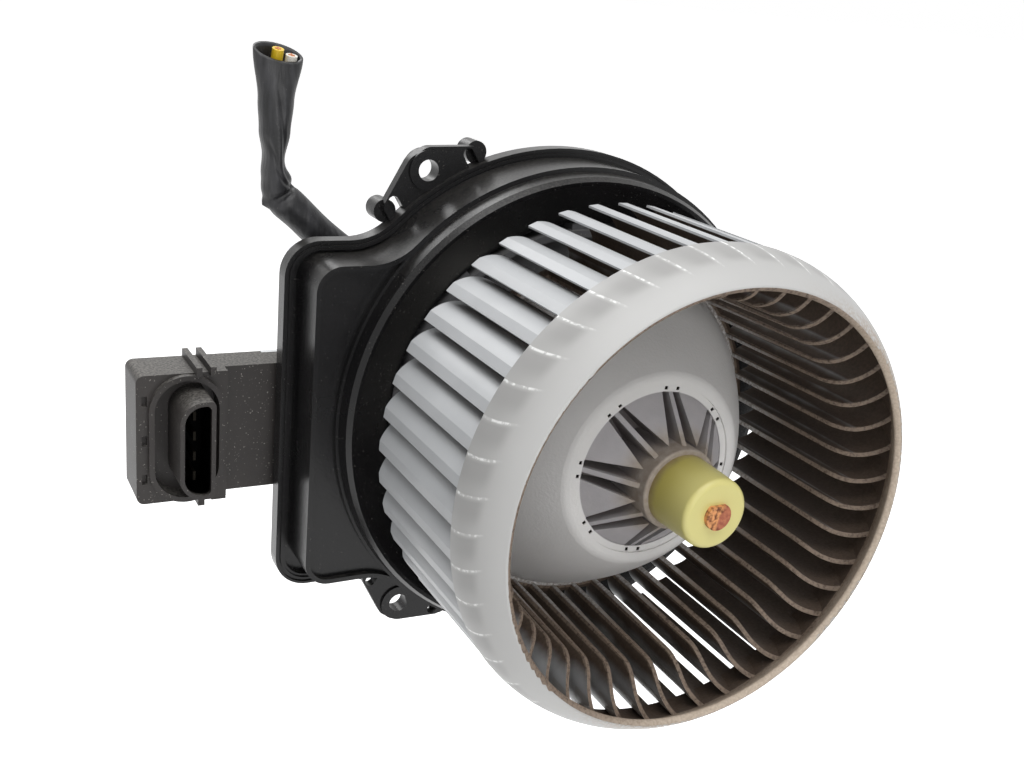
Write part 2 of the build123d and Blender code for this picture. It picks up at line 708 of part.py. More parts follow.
def arc_sector(inner, outer, start, end):
    """Ring sector as a face in (x, z)."""
    low = CenterArc((0, 0), inner, start, end - start)
    high = CenterArc((0, 0), outer, start, end - start)
    return make_face([low, high, Line(low @ 0, high @ 0), Line(low @ 1, high @ 1)])


def magnet_clips():
    """Spring strips that spread the two magnets apart, at the top and the bottom."""
    outer = CAN_RADIUS - CAN_WALL - MAGNET_GAP
    half = 90 - MAGNET_HALF_ANGLE - CLIP_PLAY_ANGLE
    strip = arc_sector(outer - CLIP_THICKNESS, outer, 90 - half, 90 + half)
    inner = outer - CLIP_TONGUE_DEPTH
    tongues = arc_sector(inner, outer, 90 - half, 90 - half + CLIP_TONGUE_ANGLE)
    tongues += arc_sector(inner, outer, 90 + half - CLIP_TONGUE_ANGLE, 90 + half)
    shape = raised(strip + tongues, STACK_REAR + CLIP_SETBACK, STACK_FRONT - CLIP_SETBACK)
    return shape, spun(shape, 180)


# Brush gear

def brush_middle():
    rear, front = commutator_stations()
    return (rear + front - HOOK_LENGTH) / 2


def holder_rear():
    return brush_middle() - BRUSH_DEPTH / 2 - HOLDER_GAP - HOLDER_WALL


def brush(side):
    start = COMMUTATOR_RADIUS + BRUSH_GAP
    low, high = start - 1.0, start + BRUSH_LENGTH
    half = BRUSH_DEPTH / 2
    body = block(-BRUSH_WIDTH / 2, BRUSH_WIDTH / 2, low, high, brush_middle() - half, brush_middle() + half)
    body -= rod(start, brush_middle() - half - 1, brush_middle() + half + 1)
    return body if side > 0 else spun(body, 180)


def brush_holder(side):
    """Brass box that guides a brush, with a closed outer end for the spring."""
    half = BRUSH_WIDTH / 2 + HOLDER_GAP
    deep = BRUSH_DEPTH / 2 + HOLDER_GAP
    middle = brush_middle()
    seat = COMMUTATOR_RADIUS + BRUSH_GAP + BRUSH_LENGTH + SPRING_LENGTH
    body = block(-half - HOLDER_WALL, half + HOLDER_WALL, HOLDER_INNER, seat + HOLDER_WALL,
                 middle - deep - HOLDER_WALL, middle + deep + HOLDER_WALL)
    body -= block(-half, half, HOLDER_INNER - 1, seat, middle - deep, middle + deep)
    return body if side > 0 else spun(body, 180)


def brush_spring(side):
    """Coil spring between a brush and the closed end of its holder, wound from flat wire."""
    start = COMMUTATOR_RADIUS + BRUSH_GAP + BRUSH_LENGTH
    pitch = (SPRING_LENGTH - SPRING_WIRE) / SPRING_TURNS
    path = Helix(pitch, pitch * SPRING_TURNS, SPRING_RADIUS)
    section = Plane(path @ 0, z_dir=path % 0) * Rectangle(SPRING_WIRE, SPRING_WIRE)
    coil = sweep(section, path, is_frenet=True)
    coil = Pos(0, -brush_middle(), start + SPRING_WIRE / 2) * coil
    return coil if side > 0 else Rot(0, 180, 0) * coil


def brush_card():
    """Moulded plate that carries the two brush holders inside the can."""
    front = holder_rear()
    rear = front - CARD_THICKNESS
    outer = CAN_RADIUS - CAN_WALL - CARD_GAP
    card = turned((CARD_BORE, rear), (outer, rear), (outer, front), (CARD_BORE, front))
    circle = outer - CARD_POST_SETBACK
    posts = [rod(CARD_POST_RADIUS, CAN_REAR, rear, *polar(circle, angle)) for angle in CARD_POST_ANGLES]
    return card + posts


def terminal_angle(side):
    return TERMINAL_ANGLE + TERMINAL_SPREAD * side


def terminal_place(side):
    return polar(TERMINAL_CIRCLE, terminal_angle(side))


def tab_outline(side, gap=0.0):
    """Outline of a motor terminal where it passes through the card, the end plate and the cup."""
    x, z = terminal_place(side)
    tab = Rectangle(TERMINAL_THICKNESS + 2 * gap, TERMINAL_WIDTH + 2 * gap)
    return Pos(x, z) * Rot(0, 0, terminal_angle(side)) * tab


def motor_terminal(side):
    """Brass tab from the brush card to the crimp on its lead, behind the end plate."""
    tab = raised(tab_outline(side), LEAD_STATION - LEAD_RADIUS, holder_rear() - CARD_THICKNESS)
    start = lead_route()[0]
    along = route_direction()
    normal = Vector(-along.Y, along.X)
    x = start[0] + normal.X * LEAD_OFFSET * side
    z = start[1] + normal.Y * LEAD_OFFSET * side
    reach = Plane(origin=(x, -LEAD_STATION, z), z_dir=(-along.X, 0, -along.Y))
    crimp = extrude(reach * Circle(LEAD_RADIUS), CRIMP_LENGTH)
    arm = Line(terminal_place(side), (x - along.X * CRIMP_LAP, z - along.Y * CRIMP_LAP))
    half = TERMINAL_ARM_THICKNESS / 2
    bar = raised(trace(arm, TERMINAL_ARM_WIDTH), LEAD_STATION - half, LEAD_STATION + half)
    return tab + crimp + bar


# Motor carrier, rear cover and rubber

def motor_carrier():
    """Moulded dish behind the wheel, with the cup that holds the motor in rubber."""
    wall = CARRIER_WALL
    cup_outer = CUP_INNER_RADIUS + wall
    floor = CAN_REAR - CAN_WALL
    dish = CARRIER_FRONT - CARRIER_DISH_DEPTH
    skirt = CARRIER_SKIRT_REAR
    foot_front = skirt + wall - CARRIER_FOOT_THINNING
    shape = turned(
        (CARRIER_RADIUS, CARRIER_FRONT), (CARRIER_RADIUS - wall, CARRIER_FRONT),
        (CARRIER_RADIUS - wall - CARRIER_DRAFT, dish), (cup_outer + CARRIER_DRAFT, CUP_FRONT),
        (CUP_INNER_RADIUS, CUP_FRONT), (CUP_INNER_RADIUS, floor), (CARRIER_FLOOR_BORE, floor),
        (CARRIER_FLOOR_BORE, floor - wall), (cup_outer, floor - wall),
        (cup_outer, CUP_FRONT - wall), (CARRIER_RADIUS - wall, dish - wall),
        (CARRIER_RADIUS - wall, skirt), (CARRIER_FOOT_RADIUS, skirt), (CARRIER_FOOT_RADIUS, foot_front),
        (CARRIER_RADIUS, foot_front))
    slots = [raised(tab_outline(side, TERMINAL_SLOT_GAP), floor - wall - 1, floor + 1) for side in (-1, 1)]
    sector = arc_sector(CARRIER_RADIUS - 1, SEAT_RADIUS - BRIDGE_GAP, -BRIDGE_HALF_ANGLE, BRIDGE_HALF_ANGLE)
    bridge = raised(sector, foot_front, CARRIER_FRONT - BRIDGE_SETBACK)
    return shape - slots + ring_of(bridge, BRIDGE_COUNT, BRIDGE_PHASE)


def can_ring(rear):
    """Rubber ring between the can and the carrier's cup."""
    front = rear + CAN_RING_LENGTH
    edge = CUP_INNER_RADIUS
    return turned((CAN_RADIUS, rear), (edge, rear), (edge, front), (CAN_RADIUS, front))


def seat_ring(rear, front):
    """Rubber ring on the carrier's foot."""
    edge = CARRIER_FOOT_RADIUS - SEAT_RING_SETBACK
    return turned((SEAT_RADIUS, rear), (edge, rear), (edge, front), (SEAT_RADIUS, front))


def cover_plate_radius():
    """Edge of the cover's ring plate, which drops inside the flange's collar."""
    return collar_bore() - COVER_GAP


def cover_plate_front():
    return CARRIER_SKIRT_REAR - ISOLATOR_THICKNESS


def rear_cover():
    """Black cover behind the motor: a ring plate screwed to the flange and a deep cup."""
    wall = COVER_WALL
    plate = cover_plate_front()
    inner = COVER_CUP_RADIUS - wall
    edge = cover_plate_radius()
    face = make_face(Polyline(
        (edge, -plate), (inner, -plate), (inner, -(COVER_REAR + wall)), (0, -(COVER_REAR + wall)),
        (0, -COVER_REAR), (COVER_CUP_RADIUS, -COVER_REAR), (COVER_CUP_RADIUS, -(plate - wall)),
        (edge, -(plate - wall)), close=True))
    corner = face.vertices().sort_by_distance((COVER_CUP_RADIUS, -COVER_REAR, 0))[0]
    cover = turned_face(fillet(corner, COVER_CORNER))
    rib = make_face(Polyline((COVER_CUP_RADIUS - 0.5, -(plate - 1)),
                             (COVER_SCREW_CIRCLE - COVER_RIB_SETBACK, -(plate - 1)),
                             (COVER_CUP_RADIUS - 0.5, -(COVER_REAR + COVER_RIB_SETBACK)), close=True))
    ribs = ring_of(extrude(rib, COVER_WALL / 2, both=True), COVER_RIB_COUNT)
    bore = SCREW_RADIUS + SCREW_HOLE_GAP
    holes = [rod(bore, plate - wall - 1, plate + 1, *polar(COVER_SCREW_CIRCLE, angle))
             for angle in COVER_SCREW_ANGLES]
    boss = gland_bar(GLAND_RADIUS + GLAND_BOSS_WALL, inner + 0.6, COVER_CUP_RADIUS + GLAND_BOSS_LENGTH)
    opening = gland_bar(GLAND_RADIUS, inner - GLAND_LENGTH, COVER_CUP_RADIUS + GLAND_LENGTH)
    return cover + ribs + boss - opening - holes


def gland_bar(radius, start, end):
    """Round bar along the first run of the leads, between two distances from the shaft."""
    along = route_direction()
    base = ROUTE[0][0] * along.X + ROUTE[0][1] * along.Y
    x, z = (ROUTE[0][0] + along.X * (start - base), ROUTE[0][1] + along.Y * (start - base))
    across = Plane(origin=(x, -LEAD_STATION, z), z_dir=(along.X, 0, along.Y))
    return extrude(across * Circle(radius), end - start)


def wire_gland():
    """Rubber grommet in the cover's side, round the sleeve."""
    rear = COVER_CUP_RADIUS - GLAND_LAP
    seat = COVER_CUP_RADIUS + GLAND_BOSS_LENGTH
    body = gland_bar(GLAND_RADIUS, rear, rear + GLAND_LENGTH)
    body += gland_bar(GLAND_RADIUS + GLAND_BOSS_WALL, seat, seat + GLAND_RING_THICKNESS)
    return body - gland_bar(SLEEVE_RADIUS, rear - 1, rear + GLAND_LENGTH + 1)


def cover_screws():
    """Three screws from behind the cover's plate into the posts of the flange."""
    seat = cover_plate_front() - COVER_WALL
    screws = []
    for angle in COVER_SCREW_ANGLES:
        x, z = polar(COVER_SCREW_CIRCLE, angle)
        screw = rod(SCREW_RADIUS, seat, seat + SCREW_LENGTH, x, z)
        head = rod(SCREW_HEAD_RADIUS, seat - SCREW_HEAD_HEIGHT, seat, x, z)
        slot = Rectangle(SCREW_CROSS_LENGTH, SCREW_CROSS_WIDTH)
        cross = Pos(x, z) * (slot + Rot(0, 0, 90) * slot)
        recess = raised(cross, seat - SCREW_HEAD_HEIGHT - 1, seat - SCREW_HEAD_HEIGHT + SCREW_CROSS_DEPTH)
        screws.append(screw + head - recess)
    return screws


# Mounting flange

def outline(circle, left, top, bottom, corner, blend, inset=0.0):
    """Round flange with a square wing on its left side, as a face in (x, z)."""
    right = -circle * 0.5
    wing = Pos((right - left) / 2, (top - bottom) / 2) * Rectangle(left + right, top + bottom)
    face = Circle(circle) + wing
    corners = [v for v in face.vertices() if v.X < -left + 0.01]
    face = fillet(corners, corner)
    joints = [v for v in face.vertices()
              if abs(hypot(v.X, v.Y) - circle) < 0.05 and v.X > -left + corner + 1]
    face = fillet(joints, blend)
    return offset(face, -inset) if inset else face


def flange_outline(inset=0.0):
    return outline(FLANGE_RADIUS, WING_LEFT, WING_TOP, WING_BOTTOM, WING_CORNER, WING_BLEND, inset)


def pocket_outline(inset=0.0):
    return outline(COLLAR_RADIUS + COLLAR_DRAFT, WING_LEFT - POCKET_SIDE_SETBACK,
                   WING_TOP - POCKET_TOP_SETBACK, WING_BOTTOM - POCKET_BOTTOM_SETBACK,
                   POCKET_CORNER, WING_BLEND, inset)


def collar_bore():
    """Inner radius of the collar's wall at the rear."""
    return COLLAR_RADIUS + COLLAR_DRAFT - FLANGE_WALL


def flange_rim():
    rear = -FLANGE_DEPTH
    plate = raised(flange_outline() - Circle(collar_bore()), rear, -TROUGH_DEPTH)
    rim = raised(flange_outline() - flange_outline(RIM_WIDTH), rear, -RIDGE_HEIGHT)
    ridges = raised(flange_outline() - flange_outline(RIDGE_WIDTH), -RIDGE_HEIGHT, 0)
    second = flange_outline(2 * RIDGE_WIDTH) - flange_outline(2.8 * RIDGE_WIDTH)
    return plate + rim + ridges + raised(second, -RIDGE_HEIGHT, 0)


def flange_pocket():
    """Raised wing of the flange: a hollow box with a ridge round its sunk front face."""
    body = raised(pocket_outline() - Circle(collar_bore()), -TROUGH_DEPTH, POCKET_FRONT)
    inside = pocket_outline(POCKET_RIDGE) - Circle(COLLAR_RADIUS + POCKET_ARC_GAP)
    sunk = raised(inside, POCKET_FLOOR, POCKET_FRONT + 1)
    return body - sunk


def pocket_hollow():
    """Space inside the wing, open to the rear."""
    inner = Circle(COLLAR_RADIUS + COLLAR_DRAFT)
    return raised(pocket_outline(FLANGE_WALL) - inner, -FLANGE_DEPTH - 1, POCKET_FLOOR - FLANGE_WALL)


def flange_collar():
    """Round wall that carries the highlighted ridge, and the cone inside it down to the motor's seat."""
    wall = FLANGE_WALL
    foot = COLLAR_RADIUS + COLLAR_DRAFT
    lip = SEAT_RADIUS + 2.0
    face = make_face(Polyline(
        (foot + 0.4, FLANGE_DEPTH), (foot, -4.0), (COLLAR_RADIUS + 0.8, -(COLLAR_FRONT - 2.0)),
        (COLLAR_RADIUS - 0.4, -COLLAR_FRONT), (COLLAR_RADIUS - 1.6, -(COLLAR_FRONT - 0.3)),
        (SEAT_RADIUS, -SEAT_STATION), (SEAT_RADIUS, -SEAT_LIP), (lip, -SEAT_LIP),
        (lip, -(SEAT_STATION - 1.4)), (COLLAR_RADIUS - wall, -(COLLAR_FRONT - wall - 0.6)),
        (foot - wall, -4.0), (foot - wall, FLANGE_DEPTH), close=True))
    return turned_face(face)


def lug_sketch():
    """Fixing lug drawn along +X: a trapezium with a rounded nose, a hole and two end slots."""
    half = LUG_HALF_WIDTH
    nose = LUG_NOSE_HALF_WIDTH
    root = COLLAR_RADIUS + 1
    reach = FLANGE_RADIUS + LUG_NOSE_REACH
    shoulder = FLANGE_RADIUS + LUG_SHOULDER_REACH
    bevel, edge = shoulder - LUG_SHOULDER_BEVEL, half - LUG_SHOULDER_DROP
    face = make_face(Polyline((root, -half), (bevel, -half), (shoulder, -edge), (reach, -nose),
                              (reach, nose), (shoulder, edge), (bevel, half), (root, half), close=True))
    tips = [v for v in face.vertices() if v.X > reach - 0.01]
    face = fillet(tips, LUG_NOSE_ROUND)
    slot = SlotOverall(LUG_SLOT_LENGTH, LUG_SLOT_WIDTH)
    middle = FLANGE_RADIUS + LUG_SLOT_REACH
    face -= [Pos(middle, side * (half - LUG_SLOT_INSET)) * slot for side in (-1, 1)]
    return face - Pos(LUG_HOLE_CIRCLE, 0) * Circle(LUG_HOLE_RADIUS)


def lug():
    rear = LUG_FRONT - LUG_THICKNESS
    body = raised(lug_sketch() - Circle(FLANGE_RADIUS - 1.0), rear, LUG_FRONT)
    body += raised(lug_edge(), LUG_FRONT, LUG_FRONT + LUG_BOSS_HEIGHT)
    pin_x = FLANGE_RADIUS + LUG_SHOULDER_REACH - LUG_PIN_SETBACK
    pin_z = LUG_HALF_WIDTH - LUG_PIN_INSET
    pins = [rod(LUG_PIN_RADIUS, rear - LUG_PIN_LENGTH, rear + 1.0, pin_x, z) for z in (-pin_z, pin_z)]
    boss = rod(LUG_BOSS_RADIUS, rear - LUG_BOSS_REAR_HEIGHT, rear, LUG_HOLE_CIRCLE)
    boss -= rod(LUG_HOLE_RADIUS, rear - 3, rear + 1, LUG_HOLE_CIRCLE)
    return body + pins + boss


def lug_edge():
    """Raised facet round the hole on the front face of a lug."""
    ring = Pos(LUG_HOLE_CIRCLE, 0) * Circle(LUG_BOSS_RADIUS) & lug_sketch()
    return ring


def cover_post(angle):
    """Post under the flange's cone that takes a cover screw."""
    x, z = polar(COVER_SCREW_CIRCLE, angle)
    top = SEAT_STATION + (COLLAR_FRONT - SEAT_STATION) * 0.35
    return screwed_post(cover_plate_front(), top, x, z)


def screwed_post(rear, front, x, z):
    return rod(POST_RADIUS, rear, front, x, z) - rod(SCREW_RADIUS, rear - 1, rear + SCREW_LENGTH, x, z)


def mounting_flange():
    flange = flange_rim() + flange_pocket() - pocket_hollow() + flange_collar()
    flange += [spun(lug(), angle) for angle in LUG_ANGLES]
    flange += [cover_post(angle) for angle in COVER_SCREW_ANGLES]
    return flange + [module_post(z) for z in module_screw_heights()]


def module_post(z):
    """Post behind the wing that takes a screw of the regulator."""
    return screwed_post(module_ear_front(), POCKET_FLOOR - FLANGE_WALL + 0.5, -MODULE_SCREW_X, z)


# Regulator module

def module_middle():
    return MODULE_TOP - MODULE_HEIGHT / 2


def module_low():
    return MODULE_TOP - MODULE_HEIGHT


def module_ear_front():
    return -FLANGE_DEPTH - EAR_SETBACK


def module_screw_heights():
    return MODULE_TOP + EAR_RADIUS, module_low() - EAR_RADIUS


def shroud_outline(inset=0.0):
    """D-shaped outline of the plug socket, flat on its right side."""
    width, height = SHROUD_WIDTH - 2 * inset, SHROUD_HEIGHT - 2 * inset
    face = Rectangle(width, height)
    left = [v for v in face.vertices() if v.X < 0]
    face = fillet(left, SHROUD_ROUND - inset)
    right = [v for v in face.vertices() if v.X > width / 2 - 0.01]
    face = fillet(right, SHROUD_CORNER)
    return Pos(-SHROUD_X, module_middle()) * face


def connector_housing():
    """Moulded box of the regulator with the plug socket on its front."""
    low, top = module_low(), MODULE_TOP
    front_right = MODULE_FRONT - MODULE_STEP_BACK
    deep = block(-MODULE_LEFT, -MODULE_STEP, low, top, MODULE_REAR, MODULE_FRONT)
    corners = deep.edges().filter_by(Axis.Y)
    deep = fillet(corners.filter_by_position(Axis.X, -MODULE_LEFT - 1, 1 - MODULE_LEFT), MODULE_CORNER)
    body = deep + block(-MODULE_STEP - 1, -MODULE_RIGHT, low, top, MODULE_REAR, front_right)
    ear = block(-MODULE_RIGHT - 1, -MODULE_TAB_LEFT, low, top, MODULE_REAR + TAB_REAR_SETBACK,
                module_ear_front())
    body += ear
    for z in module_screw_heights():
        x, rear, front = -MODULE_SCREW_X, module_ear_front() - EAR_THICKNESS, module_ear_front()
        edge = top - 1 if z > top else low + 1
        body += rod(EAR_RADIUS, rear, front, x, z)
        body += block(x - EAR_RADIUS, x + EAR_RADIUS, min(z, edge), max(z, edge), rear, front)
        body -= rod(SCREW_RADIUS + SCREW_HOLE_GAP, rear - 1, front + 1, x, z)
    wall = MODULE_WALL
    body -= block(-MODULE_LEFT + wall, -MODULE_STEP + 4, low + wall, top - wall, MODULE_REAR - 1,
                  SOCKET_COLLAR_FRONT - MOAT_DEPTH - wall)
    body -= block(-MODULE_STEP, -MODULE_TAB_LEFT - wall, low + wall, top - wall, MODULE_REAR - 1,
                  front_right - wall - 2.4)
    stadium = Pos(-SOCKET_X, module_middle()) * SlotOverall(COLLAR_HEIGHT, COLLAR_WIDTH, 90)
    moat = offset(stadium, -SOCKET_COLLAR_WALL)
    body += raised(stadium, MODULE_FRONT - 1, SOCKET_COLLAR_FRONT)
    body -= raised(moat, SOCKET_COLLAR_FRONT - MOAT_DEPTH, SOCKET_COLLAR_FRONT + 1)
    body += raised(shroud_outline(), SOCKET_COLLAR_FRONT - MOAT_DEPTH - 1, SHROUD_FRONT)
    body -= raised(shroud_outline(SHROUD_WALL), SHROUD_FRONT - SOCKET_DEPTH, SHROUD_FRONT + 1)
    left = NOTCH_WIDTH - MODULE_LEFT
    for step in (-1, 0, 1):
        z = module_middle() + step * NOTCH_PITCH
        body -= block(left, left + NOTCH_WIDTH, z - NOTCH_HEIGHT / 2, z + NOTCH_HEIGHT / 2,
                      MODULE_FRONT - NOTCH_DEPTH, MODULE_FRONT + 1)
    for setback in GUIDE_SETBACKS:
        x = setback - MODULE_LEFT
        body += block(x, x + GUIDE_WIDTH, top - 0.5, top + GUIDE_HEIGHT, MODULE_REAR,
                      MODULE_FRONT + GUIDE_REACH)
    latch = -MODULE_STEP - LATCH_SETBACK
    body += block(latch, latch + LATCH_LENGTH, low - LATCH_DROP, low + 0.5, front_right - LATCH_DEPTH,
                  front_right)
    catch = latch - CATCH_GAP
    body += block(catch - CATCH_WIDTH, catch, low - CATCH_DROP, low + 0.5, front_right - CATCH_DEPTH,
                  MODULE_FRONT)
    for i in range(PIN_COUNT):
        body -= pin_block(i, 0.0, SHROUD_FRONT - SOCKET_DEPTH - PIN_TAIL, SHROUD_FRONT)
    return body


def pin_block(index, gap, rear, front):
    z = module_middle() + (index - (PIN_COUNT - 1) / 2) * PIN_PITCH
    half_w, half_t = PIN_WIDTH / 2 + gap, PIN_THICKNESS / 2 + gap
    return block(-SHROUD_X - half_t, -SHROUD_X + half_t, z - half_w, z + half_w, rear, front)


def board_station():
    return MODULE_REAR + LID_THICKNESS + 0.6


def connector_pins():
    """Flat terminals from the regulator's board into the plug socket."""
    floor = SHROUD_FRONT - SOCKET_DEPTH
    rear = board_station() + BOARD_THICKNESS
    return [pin_block(i, 0.0, rear, floor + PIN_LENGTH) for i in range(PIN_COUNT)]


def control_board():
    wall = MODULE_WALL + 0.4
    return block(-MODULE_LEFT + wall, -MODULE_RIGHT - 1, module_low() + wall, MODULE_TOP - wall,
                 board_station(), board_station() + BOARD_THICKNESS)


def module_cover():
    """Flat lid that closes the regulator's box from behind."""
    wall = MODULE_WALL + 0.15
    plate = block(-MODULE_LEFT + wall, -MODULE_RIGHT - 1, module_low() + wall, MODULE_TOP - wall, MODULE_REAR,
                  MODULE_REAR + LID_THICKNESS)
    ledges = [block(-MODULE_LEFT + wall + 1, -MODULE_RIGHT - 3, z - 0.8, z + 0.8, MODULE_REAR + LID_THICKNESS,
                    board_station()) for z in (module_low() + wall + 2, MODULE_TOP - wall - 2)]
    return plate + ledges


def power_transistor():
    """Flat power transistor on the heat sink's base, beside the board."""
    z = module_middle()
    top = sink_base_front()
    left = -MODULE_SCREW_X - 3.6
    half = TRANSISTOR_WIDTH / 2
    body = block(left, left + TRANSISTOR_LENGTH, z - half, z + half, top, top + 1.6)
    for i in (-1, 0, 1):
        low = z + i * TRANSISTOR_LEG_PITCH - TRANSISTOR_LEG / 2
        body += block(left - 8.5, left + 1, low, low + TRANSISTOR_LEG, top + 0.3, top + 0.9)
    return body


def sink_base_front():
    return MODULE_REAR + 1.5 + 4.2


def heat_sink():
    """Finned aluminium block behind the wing, closing the regulator's inner end."""
    wall = MODULE_WALL + 0.15
    left, right = -MODULE_RIGHT + 1.5, -MODULE_TAB_LEFT - wall
    low, high = module_low() + wall, MODULE_TOP - wall
    front = sink_base_front()
    base = block(left, right, low, high, front - SINK_BASE, front)
    pitch = (high - low - SINK_FIN_THICKNESS) / (SINK_FIN_COUNT - 1)
    fins = [block(left, right, low + pitch * i, low + pitch * i + SINK_FIN_THICKNESS,
                  front - SINK_BASE - SINK_FIN_HEIGHT, front - SINK_BASE) for i in range(SINK_FIN_COUNT)]
    return base + fins


def module_screws():
    seat = module_ear_front() - EAR_THICKNESS
    screws = []
    for z in module_screw_heights():
        screws.append(rod(SCREW_RADIUS, seat, seat + SCREW_LENGTH, -MODULE_SCREW_X, z)
                      + rod(SCREW_HEAD_RADIUS, seat - SCREW_HEAD_HEIGHT, seat, -MODULE_SCREW_X, z))
    return screws


# Leads

def route_direction():
    (x0, z0), (x1, z1) = ROUTE[0], ROUTE[1]
    return Vector(x1 - x0, z1 - z0).normalized()


def lead_route():
    """The sleeve's route, with its first run taken back inside the rear cover."""
    along = route_direction()
    reach = hypot(*ROUTE[0]) - LEAD_START_RADIUS
    first = (ROUTE[0][0] - along.X * reach, ROUTE[0][1] - along.Y * reach)
    return [first] + ROUTE[1:]


def bend_radii(points):
    radii = []
    for before, corner, after in zip(points, points[1:], points[2:]):
        first = Vector(corner[0] - before[0], corner[1] - before[1])
        second = Vector(after[0] - corner[0], after[1] - corner[1])
        turn = first.get_angle(second)
        radii.append(ROUTE_SHARE * min(first.length, second.length) / tan(radians(turn / 2)))
    return radii


def lead_tube(points, profile, name):
    """Sweep a profile, drawn about the route's start, along straight runs joined by arcs."""
    radii = bend_radii(points)
    path = FilletPolyline(*[Vector(x, -LEAD_STATION, z) for x, z in points], radius=radii)
    print(name, "length", round(path.length, 1), "bend radii", [round(r, 1) for r in radii])
    along = route_direction()
    start = Plane(origin=path @ 0, x_dir=(-along.Y, 0, along.X), z_dir=(along.X, 0, along.Y))
    solid = sweep(start * profile, path)
    print(name, "volume", round(solid.volume, 1), "section times length", round(profile.area * path.length, 1))
    return solid


def wire_sleeve():
    profile = Circle(SLEEVE_RADIUS) - Circle(SLEEVE_RADIUS - SLEEVE_WALL)
    return lead_tube(ROUTE, profile, "wire_sleeve")


def lead(side, name):
    return lead_tube(lead_route(), Pos(side * LEAD_OFFSET, 0) * Circle(LEAD_RADIUS), name)


def compound(shapes):
    return Compound(children=list(shapes))


def save(name, shape):
    export_step(shape, f"parts/{name}.step")


def main():
    os.makedirs("parts", exist_ok=True)
    save("fan_wheel", fan_wheel())
    save("hub_insert", hub_insert())
    save("motor_shaft", motor_shaft())
    save("armature_stack", armature_stack())
    save("armature_insulator_front", armature_insulator(STACK_FRONT))
    save("armature_insulator_rear", armature_insulator(STACK_REAR - INSULATOR_THICKNESS))
    save("armature_windings", armature_windings())
    save("commutator_core", commutator_core())
    save("commutator_bars", commutator_bars())
    front_spacer, rear_spacer = spacers()
    save("shaft_spacer_front", front_spacer)
    save("shaft_spacer_rear", rear_spacer)
    save("thrust_washer_front", thrust_washer(bush_rear_front() - END_FLOAT - WASHER_THICKNESS))
    save("thrust_washer_rear", thrust_washer(bush_front_rear() + END_FLOAT))

    save("motor_can", motor_can())
    save("end_plate", end_plate())
    save("magnet_right", magnet(1))
    save("magnet_left", magnet(-1))
    save("magnet_clips", compound(magnet_clips()))
    save("front_bush", bush(bush_rear_front()))
    save("rear_bush", bush(bush_front_rear() - BUSH_LENGTH))
    save("front_bush_retainer", bush_retainer(CAN_FRONT - CAN_WALL, bush_rear_front(), 1))
    save("rear_bush_retainer", bush_retainer(CAN_REAR, bush_front_rear(), -1))
    save("brush_card", brush_card())
    for side, place in ((1, "upper"), (-1, "lower")):
        save(f"brush_{place}", brush(side))
        save(f"brush_holder_{place}", brush_holder(side))
        save(f"brush_spring_{place}", brush_spring(side))
    save("motor_terminal_yellow", motor_terminal(1))
    save("motor_terminal_white", motor_terminal(-1))

    save("motor_carrier", motor_carrier())
    save("motor_ring_front", can_ring(CUP_FRONT - CAN_RING_SETBACK - CAN_RING_LENGTH))
    save("motor_ring_rear", can_ring(CAN_REAR + CAN_RING_SETBACK))
    save("seat_ring_front", seat_ring(CARRIER_SKIRT_REAR + CARRIER_WALL - 0.2, SEAT_LIP))
    save("seat_ring_rear", seat_ring(cover_plate_front(), CARRIER_SKIRT_REAR))
    save("rear_cover", rear_cover())
    save("cover_screws", compound(cover_screws()))
    save("mounting_flange", mounting_flange())

    save("connector_housing", connector_housing())
    save("connector_pins", compound(connector_pins()))
    save("control_board", control_board())
    save("module_cover", module_cover())
    save("power_transistor", power_transistor())
    save("heat_sink", heat_sink())
    save("module_screws", compound(module_screws()))

    save("wire_gland", wire_gland())
    save("wire_sleeve", wire_sleeve())
    save("yellow_lead", lead(1, "yellow_lead"))
    save("white_lead", lead(-1, "white_lead"))


main()
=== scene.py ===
# %% [markdown]
# # A car cabin blower motor
#
# This lesson dresses a finished CAD model for a photograph: a squirrel-cage fan wheel on a small motor, in a
# black moulded flange with a speed regulator at its side and a cut sleeve of two leads behind. The CAD model
# holds every solid at its true size, so what is left for Blender is the camera, the light, the finish of each
# plastic and metal, and the soft sleeve. Lengths are in metres and the shaft lies along Y, with the fan's
# inlet looking along -Y.

# %% Load the frame
import math

import bmesh
import bpy
from mathutils import Matrix, Vector


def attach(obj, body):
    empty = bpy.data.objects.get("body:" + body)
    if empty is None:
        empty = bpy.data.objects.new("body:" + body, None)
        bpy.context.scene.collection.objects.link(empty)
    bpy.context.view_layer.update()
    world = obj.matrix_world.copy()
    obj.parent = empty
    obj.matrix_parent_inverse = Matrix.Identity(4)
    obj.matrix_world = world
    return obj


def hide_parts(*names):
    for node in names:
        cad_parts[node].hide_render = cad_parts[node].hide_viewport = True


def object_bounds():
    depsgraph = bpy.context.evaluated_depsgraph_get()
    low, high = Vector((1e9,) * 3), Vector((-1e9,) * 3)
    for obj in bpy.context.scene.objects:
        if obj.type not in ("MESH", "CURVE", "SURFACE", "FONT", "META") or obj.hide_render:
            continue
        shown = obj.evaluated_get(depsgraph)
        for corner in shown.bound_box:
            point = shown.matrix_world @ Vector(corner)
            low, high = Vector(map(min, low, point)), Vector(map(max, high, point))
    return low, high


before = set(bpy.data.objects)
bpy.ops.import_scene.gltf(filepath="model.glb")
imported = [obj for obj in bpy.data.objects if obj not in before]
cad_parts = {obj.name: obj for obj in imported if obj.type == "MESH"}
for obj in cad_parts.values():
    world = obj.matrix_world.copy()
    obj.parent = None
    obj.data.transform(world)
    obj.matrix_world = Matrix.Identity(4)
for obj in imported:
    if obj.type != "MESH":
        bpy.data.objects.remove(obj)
cad_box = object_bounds()

